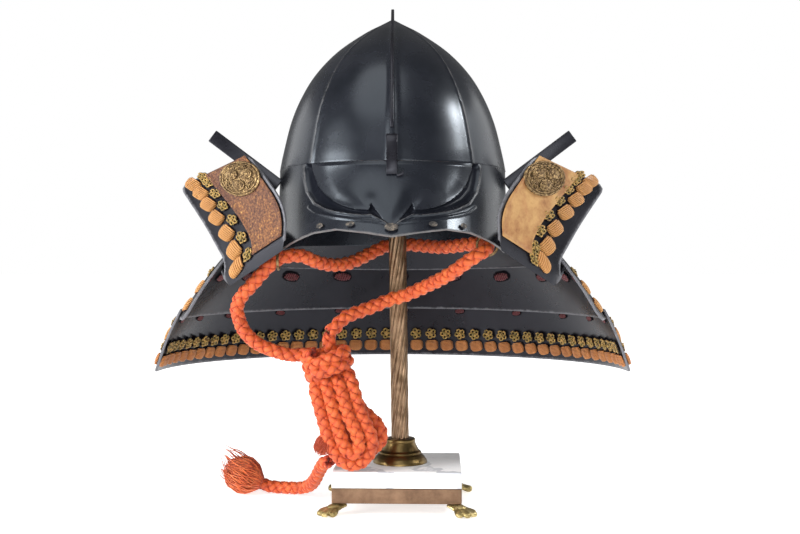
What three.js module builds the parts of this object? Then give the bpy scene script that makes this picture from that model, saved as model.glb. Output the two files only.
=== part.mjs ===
import * as THREE from "three";

// A samurai helmet with a three-lame neck guard, held on a column with a marble base. Millimetres, +Z up.
// While it is built, X = 0 is the helmet's plane of symmetry, Y = 0 the column's, the front faces -Y and Z = 0 is the table.

// Bowl and the plate that goes round below it
const headCentreY = 3;
const bowlLengthRatio = 1.16; // length over width of every level
const bowlWall = 2.8;
const bowlLevels = [
  // half the width and the height of each level, from the tip down to the seam
  { halfWidth: 0, height: 465 },
  { halfWidth: 12, height: 458.3 },
  { halfWidth: 29, height: 448.6 },
  { halfWidth: 54.2, height: 430.3 },
  { halfWidth: 73.9, height: 409.2 },
  { halfWidth: 87.4, height: 387.1 },
  { halfWidth: 97.2, height: 363.1 },
  { halfWidth: 104.6, height: 333.4 },
  { halfWidth: 107.6, height: 318.3 },
];
const ribDegrees = [0, 41, 90, 139, 180, 221, 270, 319, 360]; // from the front, all the way round
const stepsBetweenRibs = 7;
const ribHeight = 1;
const seamHeight = 318;
const browWall = 2.5;
const browSideFlare = 3;
const browFrontFlare = 28;
const browRim = [
  // lowest edge of the brow and waist plate, by degrees from the front
  { degrees: 0, height: 253 },
  { degrees: 12, height: 256.5 },
  { degrees: 25, height: 259.2 },
  { degrees: 38, height: 256.4 },
  { degrees: 50, height: 250.4 },
  { degrees: 70, height: 240 },
  { degrees: 90, height: 242 },
  { degrees: 120, height: 248 },
  { degrees: 180, height: 250 },
];
const crestPlate = { thickness: 2.9, seat: 0.5, frontRise: 5, tipRise: 10, backRise: 3, lowest: 345 };
const frontHolder = { width: 13, depth: 8, bottom: 304, top: 343, seat: 0.8 };
const sideTongue = { width: 12.5, thickness: 4, length: 74, startX: 109.2, startZ: 305, y: -28, slope: 37 };
const browRivets = [
  // degrees from the front, share of the way down the plate, radius of the dome
  { degrees: -33, down: 0.93, radius: 3.4 },
  { degrees: -18, down: 0.92, radius: 3.4 },
  { degrees: 0, down: 0.9, radius: 5.5 },
  { degrees: 18, down: 0.92, radius: 3.4 },
  { degrees: 33, down: 0.93, radius: 3.4 },
];

// Neck guard: three flaring lames, each lower one outside the one above
const lameWall = 2.4;
const lameSteps = 36;
const lames = {
  // half width, length to the back and to the front, height at the side and at the back, of each edge
  top: {
    upper: { halfWidth: 112.3, back: 129.9, front: 156, side: 266, rear: 262 },
    lower: { halfWidth: 163, back: 160, front: 156, side: 229, rear: 224 },
  },
  middle: {
    upper: { halfWidth: 161.6, back: 160.1, front: 155, side: 236.2, rear: 233 },
    lower: { halfWidth: 203, back: 180, front: 155, side: 178, rear: 180 },
    frontDegrees: 107,
  },
  bottom: {
    upper: { halfWidth: 202.8, back: 181.8, front: 150, side: 186.9, rear: 189.4 },
    lower: { halfWidth: 228, back: 192, front: 150, side: 127, rear: 127 },
    frontDegrees: 95,
  },
};
// The top lame's way to its front fold, on the +X side: upper and lower edge as [x, y, z]
const topLameFront = [
  { upper: [112.6, -32, 264.5], lower: [161.5, -22, 227] },
  { upper: [107, -68, 260], lower: [158, -42, 222] },
  { upper: [98, -95, 253], lower: [153.8, -55, 216.5] },
];
// The turn-back, from the fold up to its end, in the same way
const turnBack = [
  { upper: [91.7, -105, 250.6], lower: [151.5, -60, 214.4] },
  { upper: [90.9, -107, 269.9], lower: [151.1, -60, 231.6] },
  { upper: [96.4, -101, 286.4], lower: [160, -52, 247.2] },
  { upper: [109, -90, 304.6], lower: [174.6, -37, 268.7] },
  { upper: [128, -68, 328], lower: [200.9, -12, 302.8] },
];
const turnBackSteps = 10;
const leather = { thickness: 1.5, gap: 0.3, start: 0.05, end: 0.985, inner: 0.03, outerAtFold: 0.5, outerAtEnd: 0.6 };
const crestDisc = { radius: 20, thickness: 3, gap: 0.3, along: 0.765, across: 0.29, rings: 3, spokes: 24 };

// Display stand
const columnFoot = { x: 7.1, z: 63.2 };
const columnTop = { x: 2.2, z: 437 };
const columnRadius = 8.5;
const capRadius = 21;
const stand = { centreX: 5.7, turn: -2, width: 119, depth: 107.5, marbleBottom: 24.9, marbleTop: 39.6, frameBottom: 10.8 };
const flangeProfile = [
  // radius and height of the stepped brass foot of the column
  { radius: 26, height: 39.9 },
  { radius: 26, height: 43.5 },
  { radius: 20.5, height: 45.8 },
  { radius: 20, height: 50.5 },
  { radius: 16, height: 54 },
  { radius: 14.5, height: 58 },
  { radius: 14.5, height: 61.5 },
  { radius: 12.5, height: 62.9 },
];
const foot = { width: 13, inset: 6, top: 10.5 };

// Cord
const cordRadius = 6.75;
const cordSides = 10;
const ringRadius = 9.5;
const ringWire = 1.3;
const cordRings = {
  left: { x: -102.4, y: -66, z: 234.4, turn: Math.PI / 2 },
  right: { x: 86, y: -62, z: 247, turn: 0 },
};
// The long loop from the top left of the hank, through the left ring, behind the column, through the right ring,
// in front of the column and back to the top of the hank, as [x, y, z]
const loopRoute = [
  [-81, -42, 146.3],
  [-95.2, -44, 146.3],
  [-110.9, -46, 150.8],
  [-124.4, -48, 157.3],
  [-134.8, -50, 167.5],
  [-139.6, -52, 178.6],
  [-141.6, -54, 189.7],
  [-136.8, -57, 200.7],
  [-127.1, -60, 210.8],
  [-116.2, -63.5, 223],
  [-102.4, -66, 234.4],
  [-84, -58, 237.5],
  [-69, -42, 231.5],
  [-54.2, -24, 228.8],
  [-38.7, -8, 231.6],
  [-22.9, 6, 239.3],
  [-6.2, 15.5, 247.2],
  [4.1, 18.5, 248.7],
  [14.4, 17, 248.7],
  [32.1, 6, 247],
  [48.8, -12, 245.8],
  [67, -31, 247.6],
  [80.5, -44.5, 249],
  [86, -62, 247],
  [81.5, -78, 241.5],
  [69, -80.5, 233.5],
  [51.6, -66, 220.7],
  [31.1, -43, 209.4],
  [9.8, -27, 199.7],
  [-0.5, -23.5, 197],
  [-22, -26, 188.5],
  [-43.1, -36, 180.6],
  [-53.5, -41, 170.7],
  [-57.6, -42, 167.3],
];
const loopSteps = 56;
// The free end from the bottom of the hank, over the edge of the marble and along the table, in the same way
const tailRoute = [
  [-58.6, -40.5, 47.2],
  [-63.5, -33, 44.5],
  [-68, -20, 37],
  [-73, -5, 26],
  [-80, 14, 15],
  [-90, 29, 9],
  [-106.3, 38, 7.3],
  [-116, 41.5, 7.2],
  [-124, 43, 8],
  [-131.2, 43.6, 10.4],
];
const tailSteps = 16;
const hankDepth = 34;
const hankBack = -25;
const hankRound = 9;
const hankOutline = [
  // across and up, seen from the front, inside the rounding
  [-62, 152],
  [-70.7, 150],
  [-69.5, 141],
  [-77, 127],
  [-75, 124],
  [-67, 105],
  [-58, 90],
  [-50, 81],
  [-44, 68],
  [-44, 52],
  [-40, 49.2],
  [-36, 50],
  [-27, 62],
  [-16, 72],
  [-19, 80],
  [-31, 99],
  [-39, 110],
  [-50, 129],
  [-51, 145],
  [-54, 150],
];
const tassel = { neck: [-132.8, 43.7, 11.2], end: [-168, 42, 27.5], neckRadius: 8.5, endRadius: 20 };
const tuft = { top: [-59, -46.7, 71.2], end: [-66.5, -49, 58.5], topRadius: 4.5, endRadius: 7.5 };

// Finishes
const lacquer = new THREE.MeshStandardMaterial({ color: 0x17181c, roughness: 0.2, metalness: 0.1 });
const wornBrass = new THREE.MeshStandardMaterial({ color: 0x8a6c3a, roughness: 0.45, metalness: 0.9 });
const gilt = new THREE.MeshStandardMaterial({ color: 0x9a7a3c, roughness: 0.5, metalness: 0.8 });
const brownLeather = new THREE.MeshStandardMaterial({ color: 0xa0703f, roughness: 0.75, metalness: 0 });
const marble = new THREE.MeshStandardMaterial({ color: 0xe8e6e2, roughness: 0.3, metalness: 0 });
const bronze = new THREE.MeshStandardMaterial({ color: 0x8f735a, roughness: 0.4, metalness: 0.8 });
const orangeCord = new THREE.MeshStandardMaterial({ color: 0xe0521f, roughness: 0.85, metalness: 0 });

const radians = THREE.MathUtils.degToRad;
const at = (point) => new THREE.Vector3(...point);
const mirrored = (v) => new THREE.Vector3(-v.x, v.y, v.z);

// Reads a table of rows at a value of one column, going straight from row to row.
function readTable(rows, from, value, to) {
  const next = rows.findIndex((row, i) => i > 0 && (row[from] - value) * (rows[i - 1][from] - value) <= 0);
  const a = rows[next - 1];
  const b = rows[next];
  return a[to] + ((value - a[from]) / (b[from] - a[from])) * (b[to] - a[to]);
}

// A closed mesh from triangles: those that have shrunk to a line are left out, and all are turned to face out.
function closedGeometry(triangles) {
  const kept = triangles.filter(([a, b, c]) => !a.equals(b) && !b.equals(c) && !c.equals(a));
  const volume = kept.reduce((sum, [a, b, c]) => sum + a.dot(b.clone().cross(c)), 0);
  const turned = volume < 0 ? kept.map(([a, b, c]) => [a, c, b]) : kept;
  const geometry = new THREE.BufferGeometry().setFromPoints(turned.flat());
  geometry.computeVertexNormals();
  return geometry;
}

// A wall between two grids of points; closed grids join their last row to their first.
function wallGeometry(outer, inner, closed = false) {
  const triangles = [];
  const quad = (a, b, c, d) => triangles.push([a, b, c], [a, c, d]);
  const rows = outer.length;
  const last = outer[0].length - 1;
  for (let i = 0; i < (closed ? rows : rows - 1); i++) {
    const k = (i + 1) % rows;
    for (let j = 0; j < last; j++) {
      quad(outer[i][j], outer[k][j], outer[k][j + 1], outer[i][j + 1]);
      quad(inner[i][j + 1], inner[k][j + 1], inner[k][j], inner[i][j]);
    }
    quad(outer[i][0], inner[i][0], inner[k][0], outer[k][0]);
    quad(outer[i][last], outer[k][last], inner[k][last], inner[i][last]);
  }
  if (!closed) {
    for (let j = 0; j < last; j++) {
      quad(outer[0][j], outer[0][j + 1], inner[0][j + 1], inner[0][j]);
      quad(outer[rows - 1][j + 1], outer[rows - 1][j], inner[rows - 1][j], inner[rows - 1][j + 1]);
    }
  }
  return closedGeometry(triangles);
}

// The same grid moved along its own normals.
function movedGrid(grid, distance) {
  return grid.map((row, i) =>
    row.map((point, j) => {
      const along = (grid[i + 1] ?? row)[j].clone().sub((grid[i - 1] ?? row)[j]);
      const across = (row[j + 1] ?? point).clone().sub(row[j - 1] ?? point);
      return point.clone().addScaledVector(along.cross(across).normalize(), distance);
    }),
  );
}

// The ends of each level of the bowl: half width, half length and height, for the outer or the inner face.
function bowlProfile(wall) {
  return bowlLevels.map(({ halfWidth, height }, i) => {
    const above = bowlLevels[Math.max(i - 1, 0)];
    const below = bowlLevels[Math.min(i + 1, bowlLevels.length - 1)];
    const normal = new THREE.Vector2(above.height - below.height, below.halfWidth - above.halfWidth).normalize();
    const tip = i === 0;
    const bottom = i === bowlLevels.length - 1;
    const x = tip ? 0 : halfWidth - wall * normal.x;
    const z = bottom ? height : height - wall * (tip ? 1 / normal.y : normal.y);
    return { halfWidth: x, halfLength: x * bowlLengthRatio, height: z };
  });
}

const roundDegrees = ribDegrees.slice(1).flatMap((degrees, i) => {
  const step = (degrees - ribDegrees[i]) / stepsBetweenRibs;
  return Array.from({ length: stepsBetweenRibs }, (_, k) => ribDegrees[i] + k * step);
});

function bowlGrid(wall, rib) {
  return roundDegrees.map((degrees) => {
    const onRib = ribDegrees.includes(degrees) && degrees % 180 !== 0;
    return bowlProfile(wall).map(({ halfWidth, halfLength, height }) => {
      const swell = 1 + (onRib && halfWidth > 0 ? rib / Math.max(halfWidth, 29) : 0);
      const side = Math.sin(radians(degrees)) * halfWidth * swell;
      const fore = Math.cos(radians(degrees)) * halfLength * swell;
      return new THREE.Vector3(side, headCentreY - fore, height);
    });
  });
}

// A point of the brow and waist plate, by degrees from the front and share of the way down.
function browPoint(degrees, down, wall) {
  const seam = bowlLevels.at(-1).halfWidth;
  const side = seam + browSideFlare * down ** 1.5 - wall;
  const turn = Math.cos(radians(degrees));
  const flare = turn > 0 ? browFrontFlare * down ** 1.3 : browSideFlare * down ** 1.5;
  const length = seam * bowlLengthRatio + flare - wall;
  const fromFront = Math.abs(((degrees + 180) % 360) - 180);
  const rim = readTable(browRim, "degrees", Math.min(fromFront, 180), "height");
  return new THREE.Vector3(
    Math.sin(radians(degrees)) * side,
    headCentreY - turn * length,
    THREE.MathUtils.lerp(seamHeight, rim, down),
  );
}

function browGrid(wall) {
  const levels = [0, 0.3, 0.6, 0.85, 1];
  return roundDegrees.map((degrees) => levels.map((down) => browPoint(degrees, down, wall)));
}

// The thin plate that stands on the bowl from the front holder over the tip to the back.
function crestPlateGeometry() {
  const side = (sign, rise, lowest) => {
    const rows = bowlLevels.filter(({ height }) => height > lowest);
    rows.push({ halfWidth: readTable(bowlLevels, "height", lowest, "halfWidth"), height: lowest });
    return rows.map(({ halfWidth, height }, i) => ({
      y: headCentreY + sign * (halfWidth * bowlLengthRatio + (i ? crestPlate.seat : 0)),
      z: height + crestPlate.seat,
      rise: THREE.MathUtils.lerp(crestPlate.tipRise, rise, Math.min(1, (i / rows.length) * 2)),
      lean: sign * Math.min(1, (1.5 * i) / rows.length),
    }));
  };
  const front = side(-1, crestPlate.frontRise, crestPlate.lowest);
  const back = side(1, crestPlate.backRise, seamHeight + 12);
  const under = [...front.slice().reverse(), ...back.slice(1)];
  const over = under.map(({ y, z, rise, lean }) => [y + rise * lean, z + rise * (1 - Math.abs(lean) ** 2 * 0.7)]);
  return acrossGeometry([...under.map(({ y, z }) => [y, z]), ...over.reverse()], crestPlate.thickness);
}

// An outline in Y and Z, as thick as told along X and centred on X = 0.
function acrossGeometry(outline, thickness) {
  const shape = new THREE.Shape(outline.map(([y, z]) => new THREE.Vector2(y, z)));
  const geometry = new THREE.ExtrudeGeometry(shape, { depth: thickness, bevelEnabled: false });
  const turned = new THREE.Matrix4().makeBasis(at([0, 1, 0]), at([0, 0, 1]), at([1, 0, 0]));
  return geometry.translate(0, 0, -thickness / 2).applyMatrix4(turned);
}

function frontHolderGeometry() {
  const { depth, bottom, top, seat } = frontHolder;
  const faceY = (z) => {
    if (z > seamHeight) return headCentreY - readTable(bowlLevels, "height", z, "halfWidth") * bowlLengthRatio;
    const down = (seamHeight - z) / (seamHeight - browRim[0].height);
    return browPoint(0, down, 0).y;
  };
  const heights = [bottom, (bottom + seamHeight) / 2, seamHeight + 0.4, 333.4, top];
  const back = heights.map((z) => [faceY(z) - seat, z]);
  const front = back.map(([y, z], i) => [y - (i === 0 || i === heights.length - 1 ? depth * 0.75 : depth), z]);
  return acrossGeometry([...back, ...front.reverse()], frontHolder.width);
}

// One edge of a lame, by degrees from the back.
function lameEdge({ halfWidth, back, front, side, rear }, degrees) {
  const cosine = Math.cos(radians(degrees));
  const reach = cosine > 0 ? back : front;
  const height = cosine > 0 ? THREE.MathUtils.lerp(side, rear, cosine ** 2) : side;
  return new THREE.Vector3(Math.sin(radians(degrees)) * halfWidth, headCentreY + cosine * reach, height);
}

const edgeRow = (upper, lower) => [upper, upper.clone().lerp(lower, 0.5), lower];

function lameGeometry({ upper, lower, frontDegrees }) {
  const outer = Array.from({ length: lameSteps + 1 }, (_, i) => {
    const degrees = frontDegrees * (1 - (2 * i) / lameSteps);
    return edgeRow(lameEdge(upper, degrees), lameEdge(lower, degrees));
  });
  return wallGeometry(outer, movedGrid(outer, lameWall));
}

// The turn-back's upper and lower edges as smooth curves, on the +X side.
const turnBackEdges = {
  upper: new THREE.CatmullRomCurve3(turnBack.map(({ upper }) => at(upper))),
  lower: new THREE.CatmullRomCurve3(turnBack.map(({ lower }) => at(lower))),
};

// A point of the turn-back on the +X side, by shares of its length and of its width, lifted off its front face.
function turnBackPoint(along, across, lift) {
  const on = (u, v) =>
    turnBackEdges.upper.getPointAt(u).lerp(turnBackEdges.lower.getPointAt(u), v);
  const step = 0.01;
  const u = THREE.MathUtils.clamp(along, step, 1 - step);
  const length = on(u + step, across).sub(on(u - step, across));
  const width = on(u, across + step).sub(on(u, across - step));
  return on(along, across).addScaledVector(width.cross(length).normalize(), lift);
}

function topLameGeometry() {
  const { upper, lower } = lames.top;
  const half = [];
  for (let i = 0; i <= turnBackSteps; i++) {
    const along = 1 - i / turnBackSteps;
    half.push(edgeRow(turnBackPoint(along, 0, 0), turnBackPoint(along, 1, 0)));
  }
  half.push(...topLameFront.map((row) => edgeRow(at(row.upper), at(row.lower))).reverse());
  for (let i = 0; i < lameSteps / 2; i++) {
    const degrees = 90 * (1 - (2 * i) / lameSteps);
    half.push(edgeRow(lameEdge(upper, degrees), lameEdge(lower, degrees)));
  }
  const middle = edgeRow(lameEdge(upper, 0), lameEdge(lower, 0));
  const otherHalf = half.map((row) => row.map(mirrored)).reverse();
  const outer = [...half, middle, ...otherHalf];
  return wallGeometry(outer, movedGrid(outer, lameWall));
}

// Points of a piece on the +X turn-back, mirrored for the other side.
const onSide = (side, grid) => (side < 0 ? grid.map((row) => row.map(mirrored)) : grid);

function leatherGeometry(side) {
  const steps = 8;
  const columns = 3;
  const face = (lift) =>
    Array.from({ length: steps + 1 }, (_, i) => {
      const share = i / steps;
      const along = THREE.MathUtils.lerp(leather.start, leather.end, share);
      const outer = THREE.MathUtils.lerp(leather.outerAtFold, leather.outerAtEnd, share);
      return Array.from({ length: columns + 1 }, (_, j) =>
        turnBackPoint(along, THREE.MathUtils.lerp(leather.inner, outer, j / columns), lift),
      );
    });
  const low = lameWall + leather.gap;
  return wallGeometry(onSide(side, face(low + leather.thickness)), onSide(side, face(low)));
}

function crestDiscGeometry(side) {
  const { radius, along, across, rings, spokes } = crestDisc;
  const length = turnBackEdges.upper.getLength() / 2 + turnBackEdges.lower.getLength() / 2;
  const width = turnBackPoint(along, 0, 0).distanceTo(turnBackPoint(along, 1, 0));
  const face = (lift) =>
    Array.from({ length: spokes }, (_, i) => {
      const angle = (2 * Math.PI * i) / spokes;
      return Array.from({ length: rings + 1 }, (_, j) => {
        const r = (radius * j) / rings;
        return turnBackPoint(along + (r * Math.cos(angle)) / length, across + (r * Math.sin(angle)) / width, lift);
      });
    });
  const low = lameWall + leather.gap + leather.thickness + crestDisc.gap;
  return wallGeometry(onSide(side, face(low + crestDisc.thickness)), onSide(side, face(low)), true);
}

// A low dome, flat below, with its axis along Y.
function domeGeometry(radius) {
  const profile = [0, 1, 2, 3].map((i) => {
    const angle = (i / 3) * (Math.PI / 2);
    return new THREE.Vector2(Math.sin(angle) * radius, Math.cos(angle) * radius * 0.45);
  });
  return new THREE.LatheGeometry([new THREE.Vector2(0, 0), ...profile.reverse()], 12);
}

// A tapering round piece from one point to another, narrow at the first, both ends slightly rounded.
function taperedMesh(name, from, to, fromRadius, toRadius, material) {
  const axis = at(to).sub(at(from));
  const length = axis.length();
  const profile = [
    [0, 0],
    [fromRadius, 0],
    [THREE.MathUtils.lerp(fromRadius, toRadius, 0.55), length * 0.3],
    [toRadius, length * 0.8],
    [toRadius * 0.75, length * 0.97],
    [0, length],
  ].map(([radius, height]) => new THREE.Vector2(radius, height));
  const mesh = new THREE.Mesh(new THREE.LatheGeometry(profile, 14), material);
  mesh.name = name;
  mesh.position.copy(at(from));
  mesh.quaternion.setFromUnitVectors(at([0, 1, 0]), axis.normalize());
  return mesh;
}

function cordGeometry(route, steps) {
  const section = new THREE.Shape(
    Array.from({ length: cordSides }, (_, i) => {
      const angle = (2 * Math.PI * i) / cordSides;
      return new THREE.Vector2(Math.cos(angle) * cordRadius, Math.sin(angle) * cordRadius);
    }),
  );
  const extrudePath = new THREE.CatmullRomCurve3(route.map(at));
  return new THREE.ExtrudeGeometry(section, { steps, extrudePath });
}

function hankGeometry() {
  const shape = new THREE.Shape(hankOutline.map(([x, z]) => new THREE.Vector2(x, z)));
  const geometry = new THREE.ExtrudeGeometry(shape, {
    depth: hankDepth - 2 * hankRound,
    bevelThickness: hankRound,
    bevelSize: hankRound,
    bevelSegments: 3,
  });
  return geometry.translate(0, 0, hankRound);
}

// A cast foot: its outline from under the base's corner out to the tip that rests on the table.
function footGeometry() {
  const outline = [
    [-foot.inset, 6],
    [2, 5.5],
    [7, 3],
    [9, 0],
    [22, 0],
    [22.5, 2.6],
    [15, 5.5],
    [8, foot.top - 1.5],
    [4, foot.top],
    [-foot.inset, foot.top],
  ];
  return acrossGeometry(outline, foot.width);
}

const helmet = new THREE.Group();

function add(name, geometry, material, parent = helmet) {
  const mesh = new THREE.Mesh(geometry, material);
  mesh.name = name;
  parent.add(mesh);
  return mesh;
}

function addHelmet() {
  add("bowl", wallGeometry(bowlGrid(0, ribHeight), bowlGrid(bowlWall, 0), true), lacquer);
  add("brow_and_waist_plate", wallGeometry(browGrid(0), browGrid(browWall), true), lacquer);
  add("crest_plate", crestPlateGeometry(), lacquer);
  add("front_crest_holder", frontHolderGeometry(), lacquer);
  browRivets.forEach(({ degrees, down, radius }, i) => {
    const seat = browPoint(degrees, down, 0);
    const along = browPoint(degrees + 2, down, 0).sub(browPoint(degrees - 2, down, 0));
    const upwards = browPoint(degrees, down - 0.05, 0).sub(browPoint(degrees, down, 0));
    const normal = along.cross(upwards).normalize();
    const rivet = add(`brow_rivet_${i + 1}`, domeGeometry(radius), wornBrass);
    rivet.position.copy(seat).addScaledVector(normal, 0.5);
    rivet.quaternion.setFromUnitVectors(at([0, 1, 0]), normal);
  });
  for (const [name, side] of [["left", -1], ["right", 1]]) {
    const { width, thickness, length, startX, startZ, y, slope } = sideTongue;
    const tongue = add(`side_crest_tongue_${name}`, new THREE.BoxGeometry(length, thickness, width), lacquer);
    const middle = new THREE.Vector2(Math.cos(radians(slope)), Math.sin(radians(slope))).multiplyScalar(length / 2);
    tongue.position.set(side * (startX + middle.x), y, startZ + middle.y);
    tongue.rotation.y = -side * radians(slope);
  }
}

function addNeckGuard() {
  add("neck_lame_top", topLameGeometry(), lacquer);
  add("neck_lame_middle", lameGeometry(lames.middle), lacquer);
  add("neck_lame_bottom", lameGeometry(lames.bottom), lacquer);
  for (const [name, side] of [["left", -1], ["right", 1]]) {
    add(`turn_back_leather_${name}`, leatherGeometry(side), brownLeather);
    add(`turn_back_disc_${name}`, crestDiscGeometry(side), gilt);
  }
}

function addStand() {
  const base = new THREE.Group();
  base.position.set(stand.centreX, 0, 0);
  base.rotation.z = radians(stand.turn);
  helmet.add(base);
  const { width, depth, marbleBottom, marbleTop, frameBottom } = stand;
  const frameTop = marbleBottom - 0.3;
  const slab = add("marble_slab", new THREE.BoxGeometry(width, depth, marbleTop - marbleBottom), marble, base);
  slab.position.z = (marbleTop + marbleBottom) / 2;
  const frame = add("brass_base_frame", new THREE.BoxGeometry(width, depth, frameTop - frameBottom), bronze, base);
  frame.position.z = (frameTop + frameBottom) / 2;
  const corners = [[-1, -1], [1, -1], [1, 1], [-1, 1]];
  corners.forEach(([sideX, sideY], i) => {
    const paw = add(`base_foot_${i + 1}`, footGeometry(), wornBrass, base);
    paw.position.set(sideX * (width / 2 - foot.inset), sideY * (depth / 2 - foot.inset), 0);
    paw.rotation.z = Math.atan2(sideY, sideX) - Math.PI / 2;
  });
  const profile = flangeProfile.map(({ radius, height }) => new THREE.Vector2(radius, height));
  const closed = [new THREE.Vector2(0, profile[0].y), ...profile, new THREE.Vector2(0, profile.at(-1).y)];
  const flange = add("column_flange", new THREE.LatheGeometry(closed, 32), wornBrass);
  flange.position.x = columnFoot.x;
  flange.rotation.x = Math.PI / 2;
  const from = at([columnFoot.x, 0, columnFoot.z]);
  const axis = at([columnTop.x, 0, columnTop.z]).sub(from);
  const column = add("stand_column", new THREE.CylinderGeometry(columnRadius, columnRadius, axis.length(), 20), bronze);
  column.position.copy(from).addScaledVector(axis, 0.5);
  column.quaternion.setFromUnitVectors(at([0, 1, 0]), axis.clone().normalize());
  addSupportCap();
}

// The cap that the bowl's crown rests on, cut to the crown's own slope.
function addSupportCap() {
  const inner = bowlProfile(bowlWall);
  const clearance = 0.7;
  const slope = (radius) => readTable(inner, "halfWidth", radius + Math.abs(columnTop.x), "height") - clearance;
  const bottom = columnTop.z + 0.6;
  const profile = [
    [0, bottom],
    [capRadius * 0.6, bottom],
    [capRadius, slope(capRadius) - 3],
    [capRadius, slope(capRadius)],
    [8, slope(8)],
    [0, slope(8)],
  ].map(([radius, height]) => new THREE.Vector2(radius, height));
  const cap = add("support_cap", new THREE.LatheGeometry(profile, 24), bronze);
  cap.position.set(columnTop.x, headCentreY, 0);
  cap.rotation.x = Math.PI / 2;
}

function addCord() {
  for (const [name, { x, y, z, turn }] of Object.entries(cordRings)) {
    const ring = add(`cord_ring_${name}`, new THREE.TorusGeometry(ringRadius, ringWire, 6, 20), gilt);
    ring.position.set(x, y, z);
    ring.rotation.set(Math.PI / 2, turn, 0);
  }
  add("cord_loop", cordGeometry(loopRoute, loopSteps), orangeCord);
  add("cord_tail", cordGeometry(tailRoute, tailSteps), orangeCord);
  const hank = add("cord_hank", hankGeometry(), orangeCord);
  hank.rotation.x = Math.PI / 2;
  hank.position.y = hankBack;
  const { neck, end, neckRadius, endRadius } = tassel;
  helmet.add(taperedMesh("cord_tassel", neck, end, neckRadius, endRadius, orangeCord));
  helmet.add(taperedMesh("cord_tuft", tuft.top, tuft.end, tuft.topRadius, tuft.endRadius, orangeCord));
}

addHelmet();
addNeckGuard();
addStand();
addCord();

// The origin is on the table, below the middle of everything but the cord.
const cordPieces = helmet.children.filter(({ name }) => /^cord_(loop|tail|hank|tassel|tuft)$/.test(name));
const box = new THREE.Box3();
helmet.updateMatrixWorld(true);
helmet.children.filter((piece) => !cordPieces.includes(piece)).forEach((piece) => box.expandByObject(piece, true));
const centre = box.getCenter(new THREE.Vector3());
helmet.position.set(-centre.x, -centre.y, -box.min.z);

export default helmet;
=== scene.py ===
import bpy
import math
import numpy as np
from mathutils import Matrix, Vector


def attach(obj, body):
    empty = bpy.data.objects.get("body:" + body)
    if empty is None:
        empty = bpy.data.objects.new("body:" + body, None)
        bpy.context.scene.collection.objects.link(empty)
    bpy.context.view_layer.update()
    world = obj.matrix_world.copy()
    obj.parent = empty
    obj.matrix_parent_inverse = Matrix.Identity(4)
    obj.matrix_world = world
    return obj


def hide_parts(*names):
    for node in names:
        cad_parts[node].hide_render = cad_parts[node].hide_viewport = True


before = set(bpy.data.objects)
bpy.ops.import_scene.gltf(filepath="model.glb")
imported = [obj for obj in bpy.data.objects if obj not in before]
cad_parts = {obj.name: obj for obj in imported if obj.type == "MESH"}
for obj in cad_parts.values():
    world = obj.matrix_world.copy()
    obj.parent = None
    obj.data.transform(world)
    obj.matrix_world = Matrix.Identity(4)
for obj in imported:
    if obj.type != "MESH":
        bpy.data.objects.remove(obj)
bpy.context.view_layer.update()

# Samurai helmet on a display stand. Tables are in millimetres, with Y = 0 at the column,
# and place() turns them into the frame.
columnY = -22.4906  # where the column stands in the frame
headCentreY = 3  # the helmet's middle
random = np.random.default_rng(7)


def place(points):  # table millimetres to the frame's metres
    return (np.asarray(points, float) + (0, columnY, 0)) / 1000


def deselectAll():
    bpy.ops.object.select_all(action="DESELECT")


def pick(piece):
    deselectAll()
    piece.select_set(True)
    bpy.context.view_layer.objects.active = piece


def unit(vectors):
    return vectors / np.maximum(np.linalg.norm(vectors, axis=-1, keepdims=True), 1e-12)


# Camera: level, at the height of the neck guard, a little right of the helmet's middle
cameraView = {
    "x": 7, "distance": 1066.6, "height": 231.6, "lens": 50, "sensor": 36, "shiftY": -5 / 800, "farthest": 20,
}


def addCamera():
    where = (cameraView["x"], -cameraView["distance"], cameraView["height"])
    bpy.ops.object.camera_add(location=place(where))
    camera = bpy.context.object
    camera.rotation_euler = (math.radians(90), 0, 0)
    camera.data.lens = cameraView["lens"]
    camera.data.sensor_width = cameraView["sensor"]
    camera.data.shift_y = cameraView["shiftY"]
    camera.data.clip_end = cameraView["farthest"]
    bpy.context.scene.camera = camera


# Shader node groups


def feed(tree, socket, value):  # links another node's output to an input, or sets a plain value on it
    if isinstance(value, bpy.types.NodeSocket):
        tree.links.new(value, socket)
    else:
        socket.default_value = value


def addNode(tree, kind, values=None, **settings):
    node = tree.nodes.new(kind)
    for name, value in settings.items():
        setattr(node, name, value)
    for name, value in (values or {}).items():
        feed(tree, node.inputs[name], value)
    return node


def addMath(tree, operation, *values):
    return addNode(tree, "ShaderNodeMath", dict(enumerate(values)), operation=operation).outputs[0]


def addNoise(tree, scale, detail, roughness):
    where = addNode(tree, "ShaderNodeTexCoord")
    noise = addNode(tree, "ShaderNodeTexNoise", {
        "Vector": where.outputs["Object"], "Scale": scale, "Detail": detail, "Roughness": roughness,
    })
    return noise.outputs["Fac"]


def newGroup(name, inputs, outputs):  # its inputs are numbers, and its outputs masks or a normal
    group = bpy.data.node_groups.new(name, "ShaderNodeTree")
    for label, value in inputs.items():
        socket = group.interface.new_socket(name=label, in_out="INPUT", socket_type="NodeSocketFloat")
        socket.default_value = value
    for label in outputs:
        kind = "NodeSocketVector" if label == "Normal" else "NodeSocketFloat"
        group.interface.new_socket(name=label, in_out="OUTPUT", socket_type=kind)
    return group, group.nodes.new("NodeGroupInput").outputs, group.nodes.new("NodeGroupOutput").inputs


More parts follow.
